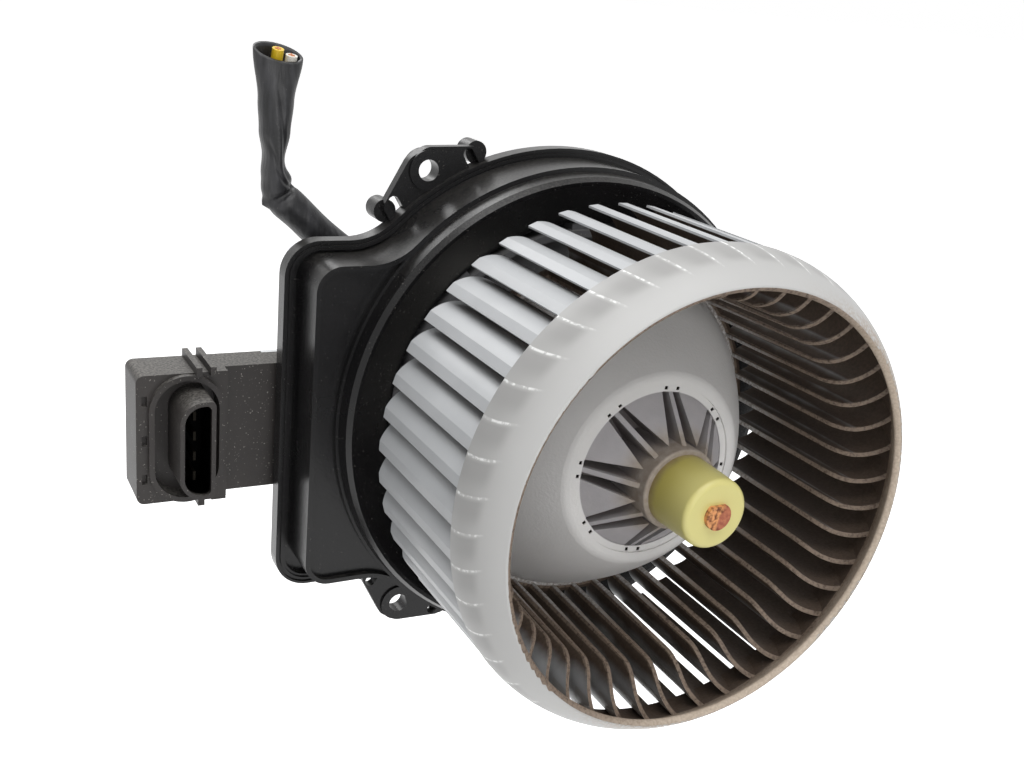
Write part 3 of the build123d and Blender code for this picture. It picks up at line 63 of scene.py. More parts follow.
# %% [markdown]
# ## The camera
#
# The photograph looks at the blower from its front left, a little above it, with the camera rolled a few
# degrees. A camera's matrix has its right, up and backward directions as columns, so those three directions
# and the place are all that it needs. They were worked out from the circles of the wheel and the flange.

# %% Camera
MM = 0.001
CAMERA_PLACE = Vector((-194.85, -327.99, 133.09)) * MM
CAMERA_RIGHT = Vector((0.88404, -0.45782, 0.09420))
CAMERA_UP = Vector((0.07160, 0.33179, 0.94063))
CAMERA_LENS = 41.24
SENSOR_WIDTH = 36
NEAREST = 0.01

camera = bpy.data.objects.new("camera", bpy.data.cameras.new("camera"))
bpy.context.scene.collection.objects.link(camera)
backward = CAMERA_RIGHT.cross(CAMERA_UP).normalized()
upward = backward.cross(CAMERA_RIGHT).normalized()
turn = Matrix((CAMERA_RIGHT.normalized(), upward, backward)).transposed()
camera.matrix_world = Matrix.Translation(CAMERA_PLACE) @ turn.to_4x4()
camera.data.lens = CAMERA_LENS
camera.data.sensor_width = SENSOR_WIDTH
camera.data.clip_start = NEAREST
bpy.context.scene.camera = camera
bpy.context.scene.view_settings.view_transform = "Standard"
print("camera looks along", [round(-v, 2) for v in backward])

# %% [markdown]
# ## Shader arithmetic
#
# A finish is a tree of nodes, and a tree written link by link is hard to read. Here a `Field` is a value that
# varies over the surface, and arithmetic on it adds the Math nodes, so that `1 - mask * 0.4` can be written
# as it stands. Every other node comes from one method, `Nodes.node`, which a `Finish` has too.

# %% Field, Nodes and Finish


class Field:
    """A value that varies over a surface; arithmetic on it adds Math nodes."""

    def __init__(self, nodes, socket):
        self.nodes = nodes
        self.socket = socket

    def maths(self, operation, *values):
        return self.nodes.node("ShaderNodeMath", {"operation": operation}, dict(enumerate(values)))

    def __add__(self, other):
        return self.maths("ADD", self, other)

    def __sub__(self, other):
        return self.maths("SUBTRACT", self, other)

    def __rsub__(self, other):
        return self.maths("SUBTRACT", other, self)

    def __mul__(self, other):
        return self.maths("MULTIPLY", self, other)

    def __truediv__(self, other):
        return self.maths("DIVIDE", self, other)

    def __pow__(self, power):
        return self.maths("POWER", self, power)

    __radd__ = __add__
    __rmul__ = __mul__


class Nodes:
    """A tree of shader nodes, and the one method that adds to it."""

    def __init__(self, tree):
        self.tree = tree

    def node(self, kind, settings, inputs, output=0):
        """Adds a node: its settings first, then its sockets' values or links; returns one output."""
        made = self.tree.nodes.new(kind)
        for key, value in settings.items():
            setattr(made, key, value)
        for key, value in inputs.items():
            self.feed(made.inputs[key], value)
        return Field(self, made.outputs[output])

    def feed(self, socket, value):
        """Links a field to a socket, or sets the socket's own value."""
        if isinstance(value, Field):
            self.tree.links.new(value.socket, socket)
        elif isinstance(value, tuple) and len(value) == 3 and socket.type == "RGBA":
            socket.default_value = (*value, 1)
        else:
            socket.default_value = value


class Finish(Nodes):
    """One material, with its place on the object, in metres, ready to use."""

    def __init__(self, name):
        self.material = bpy.data.materials.new(name)
        self.material.use_nodes = True
        super().__init__(self.material.node_tree)
        self.shader = self.tree.nodes["Principled BSDF"]
        self.place = self.node("ShaderNodeTexCoord", {}, {}, "Object")

    def set(self, **sockets):
        """Feeds the shader's own sockets; Base_Color stands for Base Color."""
        for name, value in sockets.items():
            self.feed(self.shader.inputs[name.replace("_", " ")], value)


print("Field, Nodes and Finish ready")

# %% [markdown]
# ## Fields that every finish needs
#
# Dirt and wear on a turned part depend on how far a point is from the shaft, how far forward it is, and its
# angle. A painted texture would need the wheel to be unwrapped first. Those three can be worked out from the
# object's own coordinates instead, so that the marks turn with the wheel.

# %% Places and directions
TO_MM = 1000
FULL_TURN = 2 * math.pi


def coordinates(finish):
    """The object's own x, y and z at a point, in mm."""
    split = finish.node("ShaderNodeSeparateXYZ", {}, {0: finish.place})
    return [Field(finish, output) * TO_MM for output in split.socket.node.outputs]


def around_shaft(finish):
    """Radius from the shaft, station in front of the flange (both in mm) and angle in turns."""
    x, y, z = coordinates(finish)
    radius = (x * x + z * z) ** 0.5
    angle = x.maths("ARCTAN2", z, x) / FULL_TURN
    return radius, y * -1, angle


def facing(finish, axis):
    """How far the surface faces along an axis of the object, from -1 to 1."""
    normal = finish.node("ShaderNodeTexCoord", {}, {}, "Normal")
    return finish.node("ShaderNodeVectorMath", {"operation": "DOT_PRODUCT"}, {0: normal, 1: axis}, "Value")


def facing_out(finish, radius):
    """How far the surface faces away from the shaft, from -1 to 1."""
    across = finish.node("ShaderNodeVectorMath", {"operation": "MULTIPLY"}, {0: finish.place, 1: (1, 0, 1)})
    return facing(finish, across) * TO_MM / radius


def facing_side(angle, turn):
    """1 at the given turn round the shaft and -1 on the opposite side."""
    swing = (angle - turn) * FULL_TURN
    return swing.maths("COSINE", swing)


print("places and directions ready")

# %% [markdown]
# ## Noise, steps and mixes
#
# Real dirt is cloudy, and its edges are soft. Noise gives the clouds, a smooth step between two limits gives
# an edge, and a mix of two colours lays one finish over another. Colour ramps could do the same, but a step
# with its two limits in mm says where on the object the edge lies.

# %% Noise, steps and mixes


def noise(finish, size, detail=3.0, stretch=(1, 1, 1)):
    """Cloudy noise from 0 to 1, with features about as large as size, in mm."""
    place = finish.node("ShaderNodeVectorMath", {"operation": "MULTIPLY"}, {0: finish.place, 1: stretch})
    inputs = {"Vector": place, "Scale": TO_MM / size, "Detail": detail}
    return finish.node("ShaderNodeTexNoise", {}, inputs)


def rise(value, low, high):
    """0 below low, 1 above high, and smooth between."""
    inputs = {"Value": value, "From Min": low, "From Max": high}
    return value.nodes.node("ShaderNodeMapRange", {"interpolation_type": "SMOOTHSTEP"}, inputs)


def fall(value, low, high):
    """1 below low, 0 above high, and smooth between."""
    return 1 - rise(value, low, high)


def larger(first, second):
    """The larger of two values."""
    return first.maths("MAXIMUM", first, second)


def without_sign(value):
    """The value's distance from 0."""
    return value.maths("ABSOLUTE", value)


def blend(share, below, above):
    """Colour below where share is 0 and colour above where it is 1."""
    settings = {"data_type": "RGBA"}
    return share.nodes.node("ShaderNodeMix", settings, {0: share, 6: below, 7: above}, 2)


def bump(finish, height, depth):
    """Relief of the given depth in mm where height goes from 0 to 1."""
    return finish.node("ShaderNodeBump", {}, {"Strength": 1.0, "Distance": depth * MM, "Height": height})


print("noise, steps and mixes ready")

# %% [markdown]
# ## Floor and world
#
# A product photograph like this one has a white ground. Strong lamps on a backdrop could make it white, but
# they would spill onto the object. So the floor is a plain pale plane well below the part, and it and the
# world look white to the camera, to mirror-like surfaces and through clear ones, while they light the object
# with much less. Colours then stay at the level that they are written at.

# %% Floor and world
FLOOR_DROP = 0.16
FLOOR_SIZE = 60.0
FLOOR_PALE = (0.9, 0.9, 0.9)
FLOOR_ROUGHNESS = 0.9
FLOOR_GLOW = 0.80
WORLD_LIGHT = 0.20


def seen_directly(nodes, elsewhere, seen):
    """Value for the camera's own rays and for mirror-like and see-through ones, and another for the rest."""
    camera_ray = nodes.node("ShaderNodeLightPath", {}, {}, "Is Camera Ray")
    outputs = camera_ray.socket.node.outputs
    glossy_ray = Field(nodes, outputs["Is Glossy Ray"])
    direct = camera_ray + glossy_ray + Field(nodes, outputs["Is Transmission Ray"])
    return nodes.node("ShaderNodeMapRange", {}, {"Value": direct, "To Min": elsewhere, "To Max": seen})


floor_mesh = bpy.data.meshes.new("floor")
half = FLOOR_SIZE / 2
floor_height = cad_box[0][2] - FLOOR_DROP
corners = [(-half, -half), (half, -half), (half, half), (-half, half)]
floor_mesh.from_pydata([(x, y, floor_height) for x, y in corners], [], [(0, 1, 2, 3)])
floor = bpy.data.objects.new("floor", floor_mesh)
bpy.context.scene.collection.objects.link(floor)

floor_finish = Finish("floor_white")
floor_finish.set(Base_Color=FLOOR_PALE, Roughness=FLOOR_ROUGHNESS, Emission_Strength=1.0,
                 Emission_Color=seen_directly(floor_finish, 0.0, FLOOR_GLOW))
floor_mesh.materials.append(floor_finish.material)

world = bpy.data.worlds.new("studio")
bpy.context.scene.world = world
world.use_nodes = True
world_nodes = Nodes(world.node_tree)
background = world.node_tree.nodes["Background"]
world_nodes.feed(background.inputs["Color"], (1, 1, 1))
world_nodes.feed(background.inputs["Strength"], seen_directly(world_nodes, WORLD_LIGHT, 1.0))
print("floor at", round(floor_height, 3))

# %% [markdown]
# ## Lamps
#
# Large soft lamps give the broad, soft-edged highlights of a studio. Small lamps would draw hard shadows
# between the blades. Most of the light comes from a wide softbox overhead, which is what makes the top of
# the band nearly white and leaves its lower left side grey. The others lift the front, the left and the rim.

# %% Lamps
MIDDLE = (0, -0.04, 0)
# name, place, side of the square and power in watts
LAMPS = [
    ("overhead_softbox", (-0.10, -0.35, 0.95), 0.9, 8.6),
    ("left_softbox", (-0.75, -0.60, 0.25), 0.5, 0.25),
    ("front_softbox", (-0.12, -0.95, 0.20), 0.5, 2.3),
    ("rim_softbox", (-0.15, 0.75, 0.75), 0.6, 4.5),
]


def softbox(name, place, size, power):
    """Square softbox at place, aimed at the middle of the blower."""
    light = bpy.data.lights.new(name, "AREA")
    light.shape = "SQUARE"
    light.size = size
    light.energy = power
    holder = bpy.data.objects.new(name, light)
    bpy.context.scene.collection.objects.link(holder)
    holder.location = place
    holder.rotation_euler = (Vector(MIDDLE) - Vector(place)).to_track_quat("-Z", "Y").to_euler()


for lamp in LAMPS:
    softbox(*lamp)
print("lamps:", [lamp[0] for lamp in LAMPS])

# %% [markdown]
# ## The blades
#
# The wheel is one moulding of milky polypropylene. Its outside is still clean, cool grey on the blades and
# white on the front band, while the inner half of every blade is darkened with brown-grey dust from years of
# air and with painted shade between the blades. All of that could be painted as a texture, but it follows the
# radius and the station so closely that fields of the coordinates give it directly: dust and painted shade
# grow inward, wear and a painted highlight brighten each blade's inner edge, and sand has caught on the front
# ends of the blades on one side of the wheel.

# %% Blades
BLADE_COUNT = 44
BLADE_INNER_RADIUS = 56.0
BLADE_SHOULDER = 86.5
BLADE_TIP_STATION = 96.2
BLADE_TIP_RADIUS = 68.8
CORNER_ROUND = 1.5
CORNER_SPAN = 5.0
DUST_AND_SHADE_RADII = (60.5, 66.0)
EDGE_WIDTHS = (0.15, 0.6)
SAND_STATIONS = (97.5, 103.5)
DIRTY_TURN = 0.92
CLEAN_GREYS = ((0.43, 0.441, 0.453), (0.52, 0.532, 0.544))
DUST_AND_SHADE_BROWNS = ((0.036, 0.024, 0.017), (0.105, 0.074, 0.054))
EDGE_WEAR_AND_HIGHLIGHT = (0.23, 0.175, 0.135)
SAND_COLOURS = ((0.33, 0.25, 0.185), (0.74, 0.64, 0.53))

wheel = Finish("wheel_polypropylene")
radius, station, angle = around_shaft(wheel)
outward = facing_out(wheel, radius)
cloud = noise(wheel, size=14.0)
grain = noise(wheel, size=0.9, detail=5.0)
past_shoulder = station - BLADE_SHOULDER
blade_slope = (BLADE_TIP_RADIUS - BLADE_INNER_RADIUS) / (BLADE_TIP_STATION - BLADE_SHOULDER)
edge_radius = larger(past_shoulder, 0.0) * blade_slope + BLADE_INNER_RADIUS
edge_radius = edge_radius + fall(without_sign(past_shoulder), 0.0, CORNER_SPAN) * CORNER_ROUND
# Dust and painted shade: the hollow face and the inner half of each blade darken towards the shaft.
hollow_side = fall(outward + cloud * 0.2, 0.0, 0.25)
dust_and_shade = larger(fall(radius + cloud * 5.0, *DUST_AND_SHADE_RADII), hollow_side)
# The lighter inner edge of each blade is partly wear and partly a painted highlight.
worn_and_lit_edge = fall(radius - edge_radius, *EDGE_WIDTHS)
dusty_and_shaded = blend(grain, *DUST_AND_SHADE_BROWNS)
dusty_and_shaded = blend(worn_and_lit_edge * rise(grain, 0.2, 0.6), dusty_and_shaded, EDGE_WEAR_AND_HIGHLIGHT)
sandy = rise(station + cloud * 5.0, *SAND_STATIONS) * rise(facing_side(angle, DIRTY_TURN), -0.3, 0.6)
dusty_and_shaded = blend(sandy, dusty_and_shaded, blend(grain, *SAND_COLOURS))
blade_colour = blend(dust_and_shade, blend(cloud, *CLEAN_GREYS), dusty_and_shaded)
print("wheel blades:", BLADE_COUNT)

# %% [markdown]
# ## The front band
#
# The band is thin and milky, so the blades moulded into it show through: each has a bright curved line of
# dots where it joins the band, with painted grey shade behind it for the blade's shadow seen through the
# band. Modelled ridges would be too strong for these.
# So the turns round the shaft are multiplied by the number of blades, and the fraction that is left says
# where between two blades a point lies.

# %% Band of the wheel
BAND_REAR = 85.7
BAND_FRONT = 103.1
BAND_EDGE = (64.0, 64.4)
STREAK_SWEEP = 0.0147
STREAK_SHARES = (0.50, 0.72)
SHADE_SHARES = (0.48, 0.66)
SHADE_STRENGTH = 0.8
MILKY_WHITES = ((0.42, 0.418, 0.41), (0.53, 0.528, 0.52))
SHADE_GREY = (0.345, 0.34, 0.335)
STREAK_WHITE = (0.88, 0.88, 0.87)
LIP_SAND = (0.36, 0.27, 0.19)

on_band = rise(station, BAND_REAR - 0.4, BAND_REAR + 0.2) * rise(outward, -0.05, 0.05)
on_band = on_band * rise(radius, *BAND_EDGE)
band_share = (station - BAND_REAR) / (BAND_FRONT - BAND_REAR)
turns = (angle + band_share ** 2.0 * STREAK_SWEEP) * BLADE_COUNT
saw = turns.maths("FRACT", turns)
streak = rise(saw, 0.02, 0.05) * fall(saw, 0.07, 0.13) * fall(band_share, *STREAK_SHARES)
dots = rise(noise(wheel, size=1.6, detail=2.0), 0.42, 0.62) * 0.8 + 0.2
# Painted shade: the grey zone behind each blade stands for its shadow seen through the band.
blade_shade_through_band = rise(saw, 0.10, 0.20) * fall(saw, 0.45, 1.0) * fall(band_share, *SHADE_SHARES)
band_colour = blend(rise(band_share + cloud * 0.25, 0.3, 1.1), *MILKY_WHITES)
band_colour = blend(blade_shade_through_band * SHADE_STRENGTH, band_colour, SHADE_GREY)
band_colour = blend(streak * dots, band_colour, STREAK_WHITE)
dirty_side = rise(facing_side(angle, DIRTY_TURN), -0.35, 0.55)
lip_dust = rise(band_share + cloud * 0.4, 0.90, 1.18) * rise(grain, 0.35, 0.6) * dirty_side
band_colour = blend(lip_dust, band_colour, LIP_SAND)
print("band from station", BAND_REAR, "to", BAND_FRONT)

# %% [markdown]
# ## The bell and the star of ribs
#
# Behind the blades lies the bell, with a star of grooved ribs sunk round the hub. The bell is painted lighter
# than the blades of the same plastic, as painted light that comes through the milky band. The grooves hold
# shadow and dirt, two small square pits are sunk at the outer end of each rib and painted black as their
# shade, and a brown smear lies round the hub. Each is a range of radii and stations, so none needs a texture
# of its own.

# %% Bell of the wheel
CONE_RADIUS = 24.6
BOSS_RADIUS = 12.4
CONE_FOOT = 69.0
CONE_RISE = 12.0
GROOVE_DEPTHS = (0.5, 3.5)
GROOVE_STRENGTH = 0.8
MARK_CIRCLE = (24.8, 26.6)
MARK_FLOOR = 69.2
SMEAR_STATIONS = (75.5, 83.5)
SMEAR_RADII = (14.0, 20.0)
FOOT_RADII = (52.0, 57.0)
FOOT_STRENGTH = 0.7
BELL_RADII = (54.9, 55.6)
LIT_BELL_GREYS = ((0.68, 0.67, 0.66), (0.77, 0.76, 0.75))
PLATE_GREYS = ((0.40, 0.385, 0.40), (0.50, 0.48, 0.49))
GROOVE_BROWN = (0.20, 0.175, 0.17)
SMEAR_BROWNS = ((0.22, 0.17, 0.13), (0.46, 0.41, 0.36))
PIT_SHADE_BLACK = (0.02, 0.016, 0.014)
FOOT_BROWN = (0.17, 0.12, 0.085)

patches = noise(wheel, size=5.0)
cone_slope = CONE_RISE / (CONE_RADIUS - BOSS_RADIUS)
plate_station = (CONE_RADIUS - radius) * cone_slope + CONE_FOOT
groove = rise(plate_station - station, *GROOVE_DEPTHS) * fall(radius, CONE_RADIUS - 0.1, CONE_RADIUS)
# Painted shade: the small pits at the outer ends of the ribs are painted black.
shaded_pits = rise(radius, MARK_CIRCLE[0], MARK_CIRCLE[0] + 0.1)
shaded_pits = shaded_pits * fall(radius, MARK_CIRCLE[1], MARK_CIRCLE[1] + 0.05)
shaded_pits = shaded_pits * fall(station, MARK_FLOOR - 0.2, MARK_FLOOR)
smear = rise(station + patches * 6.0, *SMEAR_STATIONS) * fall(radius, *SMEAR_RADII)
foot_dust = rise(radius + cloud * 4.0, *FOOT_RADII) * rise(grain, 0.3, 0.7) * FOOT_STRENGTH
on_cone = fall(radius, CONE_RADIUS - 0.1, CONE_RADIUS + 0.3)
# Painted light: the bell's greys are lighter than the blades', for light that comes through the band.
bell_colour = blend(on_cone, blend(cloud, *LIT_BELL_GREYS), blend(patches, *PLATE_GREYS))
bell_colour = blend(groove * GROOVE_STRENGTH, bell_colour, GROOVE_BROWN)
bell_colour = blend(smear, bell_colour, blend(noise(wheel, size=2.2), *SMEAR_BROWNS))
bell_colour = blend(shaded_pits, bell_colour, PIT_SHADE_BLACK)
bell_colour = blend(foot_dust, bell_colour, FOOT_BROWN)
print("cone plates rise", CONE_RISE, "mm")

# %% [markdown]
# ## The wheel as one finish
#
# The bell, the band and the blades are one moulding, so they could be three materials on chosen faces, but
# the borders would then follow the faces. One material that mixes the three by radius and station puts each
# border where it belongs. Dust is duller than the bare plastic and stands up a little, so it also raises the
# roughness and the relief.

# %% Finish of the wheel
WHEEL_GLOSS = 0.35
WHEEL_ROUGHNESS = 0.40
DUST_ROUGHNESS = 0.25
DUST_RELIEF = 0.12

rim_colour = blend(on_band, blade_colour, band_colour)
wheel.set(Base_Color=blend(fall(radius, *BELL_RADII), rim_colour, bell_colour),
          Roughness=dust_and_shade * DUST_ROUGHNESS + WHEEL_ROUGHNESS, Specular_IOR_Level=WHEEL_GLOSS,
          Normal=bump(wheel, grain * dust_and_shade, DUST_RELIEF))
print("wheel nodes:", len(wheel.material.node_tree.nodes))

# %% [markdown]
# ## Yellow hub and shaft
#
# The hub is a nylon bush: pale and clean at its front, a deeper yellow along its side, and olive brown where
# it dips into the wheel's funnel. The shaft's end has rusted to a copper brown, redder on one side. Both
# could have painted textures, but they only need a colour that changes along the shaft and a little noise.

# %% Hub and shaft finishes
HUB_FOOT = (84.5, 89.0)
HUB_SIDE = (85.0, 101.0)
HUB_FACE = (102.3, 103.3)
FOOT_OLIVES = ((0.20, 0.145, 0.06), (0.40, 0.31, 0.15))
SIDE_YELLOWS = ((0.50, 0.43, 0.095), (0.70, 0.64, 0.24))
FACE_YELLOW = (0.76, 0.71, 0.38)
HUB_ROUGHNESS = 0.34
RUST_STATIONS = (99.0, 101.5)
RED_TURN = 0.95
BARE_STEEL = (0.55, 0.55, 0.55)
RUST_BROWNS = ((0.13, 0.035, 0.012), (0.72, 0.33, 0.13))
RUST_REDS = ((0.30, 0.07, 0.04), (0.50, 0.17, 0.10))

hub = Finish("hub_nylon")
hub_station = around_shaft(hub)[1]
hub_foot = blend(noise(hub, size=2.5), *FOOT_OLIVES)
hub_side = blend(rise(hub_station, *HUB_SIDE), *SIDE_YELLOWS)
hub_colour = blend(rise(hub_station + noise(hub, size=6.0) * 3, *HUB_FOOT), hub_foot, hub_side)
hub_colour = blend(rise(hub_station, *HUB_FACE), hub_colour, FACE_YELLOW)
hub.set(Base_Color=hub_colour, Roughness=HUB_ROUGHNESS, Normal=bump(hub, noise(hub, size=1.2), 0.05))

shaft = Finish("shaft_steel")
shaft_station, shaft_angle = around_shaft(shaft)[1:]
rust_noise = noise(shaft, size=1.4, detail=6.0)
rust = rise(shaft_station + rust_noise * 2, *RUST_STATIONS)
rusty = blend(rise(rust_noise, 0.35, 0.62), *RUST_BROWNS)
red_side = rise(facing_side(shaft_angle, RED_TURN) + rust_noise, 0.5, 0.9)
rusty = blend(red_side * 0.8, rusty, blend(rust_noise, *RUST_REDS))
shaft.set(Base_Color=blend(rust, BARE_STEEL, rusty), Roughness=rust * 0.4 + 0.28,
          Metallic=1 - rust * 0.7, Normal=bump(shaft, rust_noise * rust, 0.35))
print("hub and shaft ready")

# %% [markdown]
# ## Black mouldings
#
# The flange, the rear cover and the regulator box are black and dark grey polypropylene, and the carrier
# behind the wheel is a lighter grey. Black plastic is never plain: it has a fine moulding texture, pale dust
# that lies on what faces up, and light specks. The dust is a mask of the upward facing times noise, so it
# settles where real dust would.

# %% Moulded plastics
UP = (0, 0, 1)
SETTLED_DUST = (0.22, 0.21, 0.19)
LIGHT_SPECK = (0.36, 0.34, 0.31)
MOULDED_RELIEF = 0.03


def moulded(name, dark, light, dust_share, speck_size=1.1, roughness=0.42, gloss=0.5):
    """Filled plastic with a fine texture, dust on its upper faces and scattered light specks."""
    finish = Finish(name)
    cloud = noise(finish, size=18.0)
    grain = noise(finish, size=0.8, detail=4.0)
    settled = rise(facing(finish, UP) + cloud * 0.8, 0.7, 1.5) * dust_share
    specks = rise(noise(finish, speck_size, detail=1.0), 0.70, 0.76) * dust_share
    colour = blend(cloud, dark, light)
    colour = blend(settled * rise(grain, 0.3, 0.7), colour, SETTLED_DUST)
    finish.colour = blend(specks, colour, LIGHT_SPECK)
    finish.set(Base_Color=finish.colour, Roughness=roughness + settled * 0.2 + cloud * 0.08,
               Specular_IOR_Level=gloss, Normal=bump(finish, grain, MOULDED_RELIEF))
    return finish


flange = moulded("flange_polypropylene", (0.004, 0.004, 0.0045), (0.009, 0.0085, 0.009), dust_share=0.16,
                 speck_size=0.7, roughness=0.22, gloss=0.30)
module = moulded("module_plastic", (0.022, 0.020, 0.020), (0.044, 0.039, 0.036), dust_share=0.6,
                 speck_size=0.6, gloss=0.3)
carrier = moulded("carrier_plastic", (0.10, 0.10, 0.105), (0.16, 0.16, 0.165), dust_share=0.4)
rubber = moulded("rubber", (0.012, 0.012, 0.012), (0.020, 0.020, 0.020), dust_share=0.2, roughness=0.6)
print("mouldings ready")

# %% [markdown]
# ## Shadow in the plug socket
#
# The socket is quite black inside, because hardly any daylight gets down to its pins. The soft lamps here
# would leave its walls grey. Moving the lamps would spoil the rest, so the plastic itself goes black inside
# the socket's outline, from just behind its mouth to its floor. It turns metallic there too, because a black
# metal has no sheen. The outline is flat on one side and has two large round corners on the other.

# %% Shadow in the plug socket
SOCKET_MIDDLE = (-118.5, -7.0)
SOCKET_HALF_WIDTH = 4.5
SOCKET_CORNER = (1.8, 8.5)
SOCKET_CORNER_RADIUS = 6.35
SOCKET_EDGE = 0.1
SOCKET_SHADE = (5.6, 7.6)
SOCKET_FLOOR = (6.3, 6.6)
SOCKET_BLACK = (0.002, 0.002, 0.002)

across, backwards, height = coordinates(module)
across = across - SOCKET_MIDDLE[0]
height = height - SOCKET_MIDDLE[1]
past_side = larger(SOCKET_CORNER[0] - across, 0)
past_end = larger(without_sign(height) - SOCKET_CORNER[1], 0)
from_corner = (past_side ** 2 + past_end ** 2) ** 0.5
inside = fall(from_corner, SOCKET_CORNER_RADIUS - SOCKET_EDGE, SOCKET_CORNER_RADIUS)
inside = inside * fall(across, SOCKET_HALF_WIDTH - SOCKET_EDGE, SOCKET_HALF_WIDTH)
inside = inside * fall(backwards * -1, *SOCKET_SHADE) * fall(backwards, *SOCKET_FLOOR)
module.set(Base_Color=blend(inside, module.colour, SOCKET_BLACK), Metallic=inside)
print("socket black from station", SOCKET_SHADE[0], "to", -SOCKET_FLOOR[0])

# %% [markdown]
# ## Metals, coils and small parts
#
# The pieces inside the motor are seen only when it comes apart, but each still gets the finish of what it is
# made of. One function covers them, because they differ in colour, gloss and how metallic they are, over the
# same faint mottling and fine grain.

# %% Inner finishes
WORKED_STRETCH = (1, 0.2, 1)
WORKED_RELIEF = 0.02


def worked(name, dark, light, roughness, metallic):
    """Mottled material with a fine grain, for metals and small moulded parts."""
    finish = Finish(name)
    mottle = noise(finish, size=7.0)
    grain = noise(finish, size=0.5, detail=4.0, stretch=WORKED_STRETCH)
    finish.set(Base_Color=blend(mottle, dark, light), Roughness=roughness + grain * 0.15,
               Metallic=metallic, Normal=bump(finish, grain, WORKED_RELIEF))
    return finish


steel = worked("steel", (0.45, 0.45, 0.46), (0.62, 0.62, 0.63), 0.30, 1.0)
plated = worked("plated_steel", (0.55, 0.54, 0.50), (0.70, 0.69, 0.66), 0.32, 1.0)
ferrite = worked("ferrite", (0.030, 0.030, 0.033), (0.055, 0.055, 0.060), 0.55, 0.0)
copper = worked("enamelled_copper", (0.50, 0.20, 0.09), (0.70, 0.33, 0.17), 0.30, 1.0)
brass = worked("brass", (0.62, 0.46, 0.20), (0.78, 0.60, 0.30), 0.28, 1.0)
# Painted shade: the connector pins are nearly black, for the shade deep in the plug socket.
pin_metal_in_shade = worked("pin_brass_painted_shade", (0.008, 0.007, 0.006), (0.017, 0.015, 0.012), 0.55, 1.0)
bronze = worked("sintered_bronze", (0.30, 0.21, 0.11), (0.42, 0.30, 0.17), 0.50, 1.0)
carbon = worked("carbon", (0.020, 0.020, 0.021), (0.045, 0.045, 0.047), 0.50, 0.0)
insulation = worked("insulation", (0.12, 0.26, 0.15), (0.18, 0.34, 0.20), 0.55, 0.0)
phenolic = worked("phenolic", (0.10, 0.045, 0.022), (0.16, 0.075, 0.038), 0.45, 0.0)
board = worked("circuit_board", (0.015, 0.10, 0.040), (0.025, 0.15, 0.060), 0.35, 0.0)
aluminium = worked("aluminium", (0.42, 0.43, 0.44), (0.54, 0.55, 0.56), 0.44, 1.0)
print("inner finishes ready")

# %% [markdown]
# ## Dressing the CAD model
#
# Each node of the CAD model is one piece of the blower, and what it is made of is known by its name. A table
# of names and finishes is easier to check than a chain of conditions. The sleeve and the two leads aren't in
# it, because pieces of their own will stand in for them.

# %% Dress the CAD nodes
FINISHES = {
    "fan_wheel": wheel, "hub_insert": hub, "motor_shaft": shaft, "mounting_flange": flange,
    "rear_cover": flange, "connector_housing": module, "module_cover": module, "motor_carrier": carrier,
    "wire_gland": rubber, "motor_ring_front": rubber, "motor_ring_rear": rubber, "seat_ring_front": rubber,
    "seat_ring_rear": rubber, "armature_stack": steel, "magnet_clips": steel, "thrust_washer_front": steel,
    "thrust_washer_rear": steel, "front_bush_retainer": steel, "rear_bush_retainer": steel,
    "brush_spring_upper": steel, "brush_spring_lower": steel, "motor_can": plated, "end_plate": plated,
    "cover_screws": plated, "module_screws": plated, "magnet_left": ferrite, "magnet_right": ferrite,
    "armature_windings": copper, "commutator_bars": copper, "connector_pins": pin_metal_in_shade,
    "brush_holder_upper": brass, "brush_holder_lower": brass, "motor_terminal_yellow": brass,
    "motor_terminal_white": brass, "front_bush": bronze, "rear_bush": bronze, "brush_upper": carbon,
    "brush_lower": carbon, "power_transistor": carbon, "armature_insulator_front": insulation,
    "armature_insulator_rear": insulation, "shaft_spacer_front": insulation,
    "shaft_spacer_rear": insulation, "commutator_core": phenolic, "brush_card": phenolic,
    "control_board": board, "heat_sink": aluminium,
}


def dress(node, finish):
    """Gives a CAD node its finish, in every material slot."""
    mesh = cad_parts[node].data
    if not mesh.materials:
        mesh.materials.append(finish.material)
    for index in range(len(mesh.materials)):
        mesh.materials[index] = finish.material


for node, finish in FINISHES.items():
    dress(node, finish)
print("undressed nodes:", [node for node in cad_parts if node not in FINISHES])

# %% [markdown]
# ## The route of the leads
#
# The two leads leave the motor through a soft plastic sleeve that was cut off with them. Its centre line is a
# smooth curve whose control points are the CAD model's route, with a few of them moved or added at the fold
# to follow the photograph. Joined straight lines would look like bent wire. The curve's own points are read
# back, because the sleeve's rings have to follow it.

# %% Route of the leads
LEAD_DEPTH = 26.0 * MM
ROUTE = [(-33.0, 23.0), (-54.0, 36.2), (-72.0, 49.5), (-80.5, 57.7), (-86.4, 62.4), (-88.3, 70.0),
         (-88.1, 80.0), (-87.9, 92.0), (-87.6, 105.4)]
CURVE_STEPS = 24


def smooth_curve(name, points):
    """Smooth curve with points as its control points, each (x, depth behind the route's plane, z) in mm."""
    curve = bpy.data.curves.new(name, "CURVE")
    curve.dimensions = "3D"
    spline = curve.splines.new("NURBS")
    spline.points.add(len(points) - 1)
    for control, (x, depth, z) in zip(spline.points, points):
        control.co = (x * MM, LEAD_DEPTH + depth * MM, z * MM, 1)
    spline.order_u = 3
    spline.use_endpoint_u = True
    spline.resolution_u = CURVE_STEPS
    return curve


def places_on(curve):
    """Points along the curve, read from its own spline."""
    holder = bpy.data.objects.new("reader", curve)
    mesh = bpy.data.meshes.new_from_object(holder)
    places = [v.co.copy() for v in mesh.vertices]
    bpy.data.objects.remove(holder)
    bpy.data.meshes.remove(mesh)
    return places


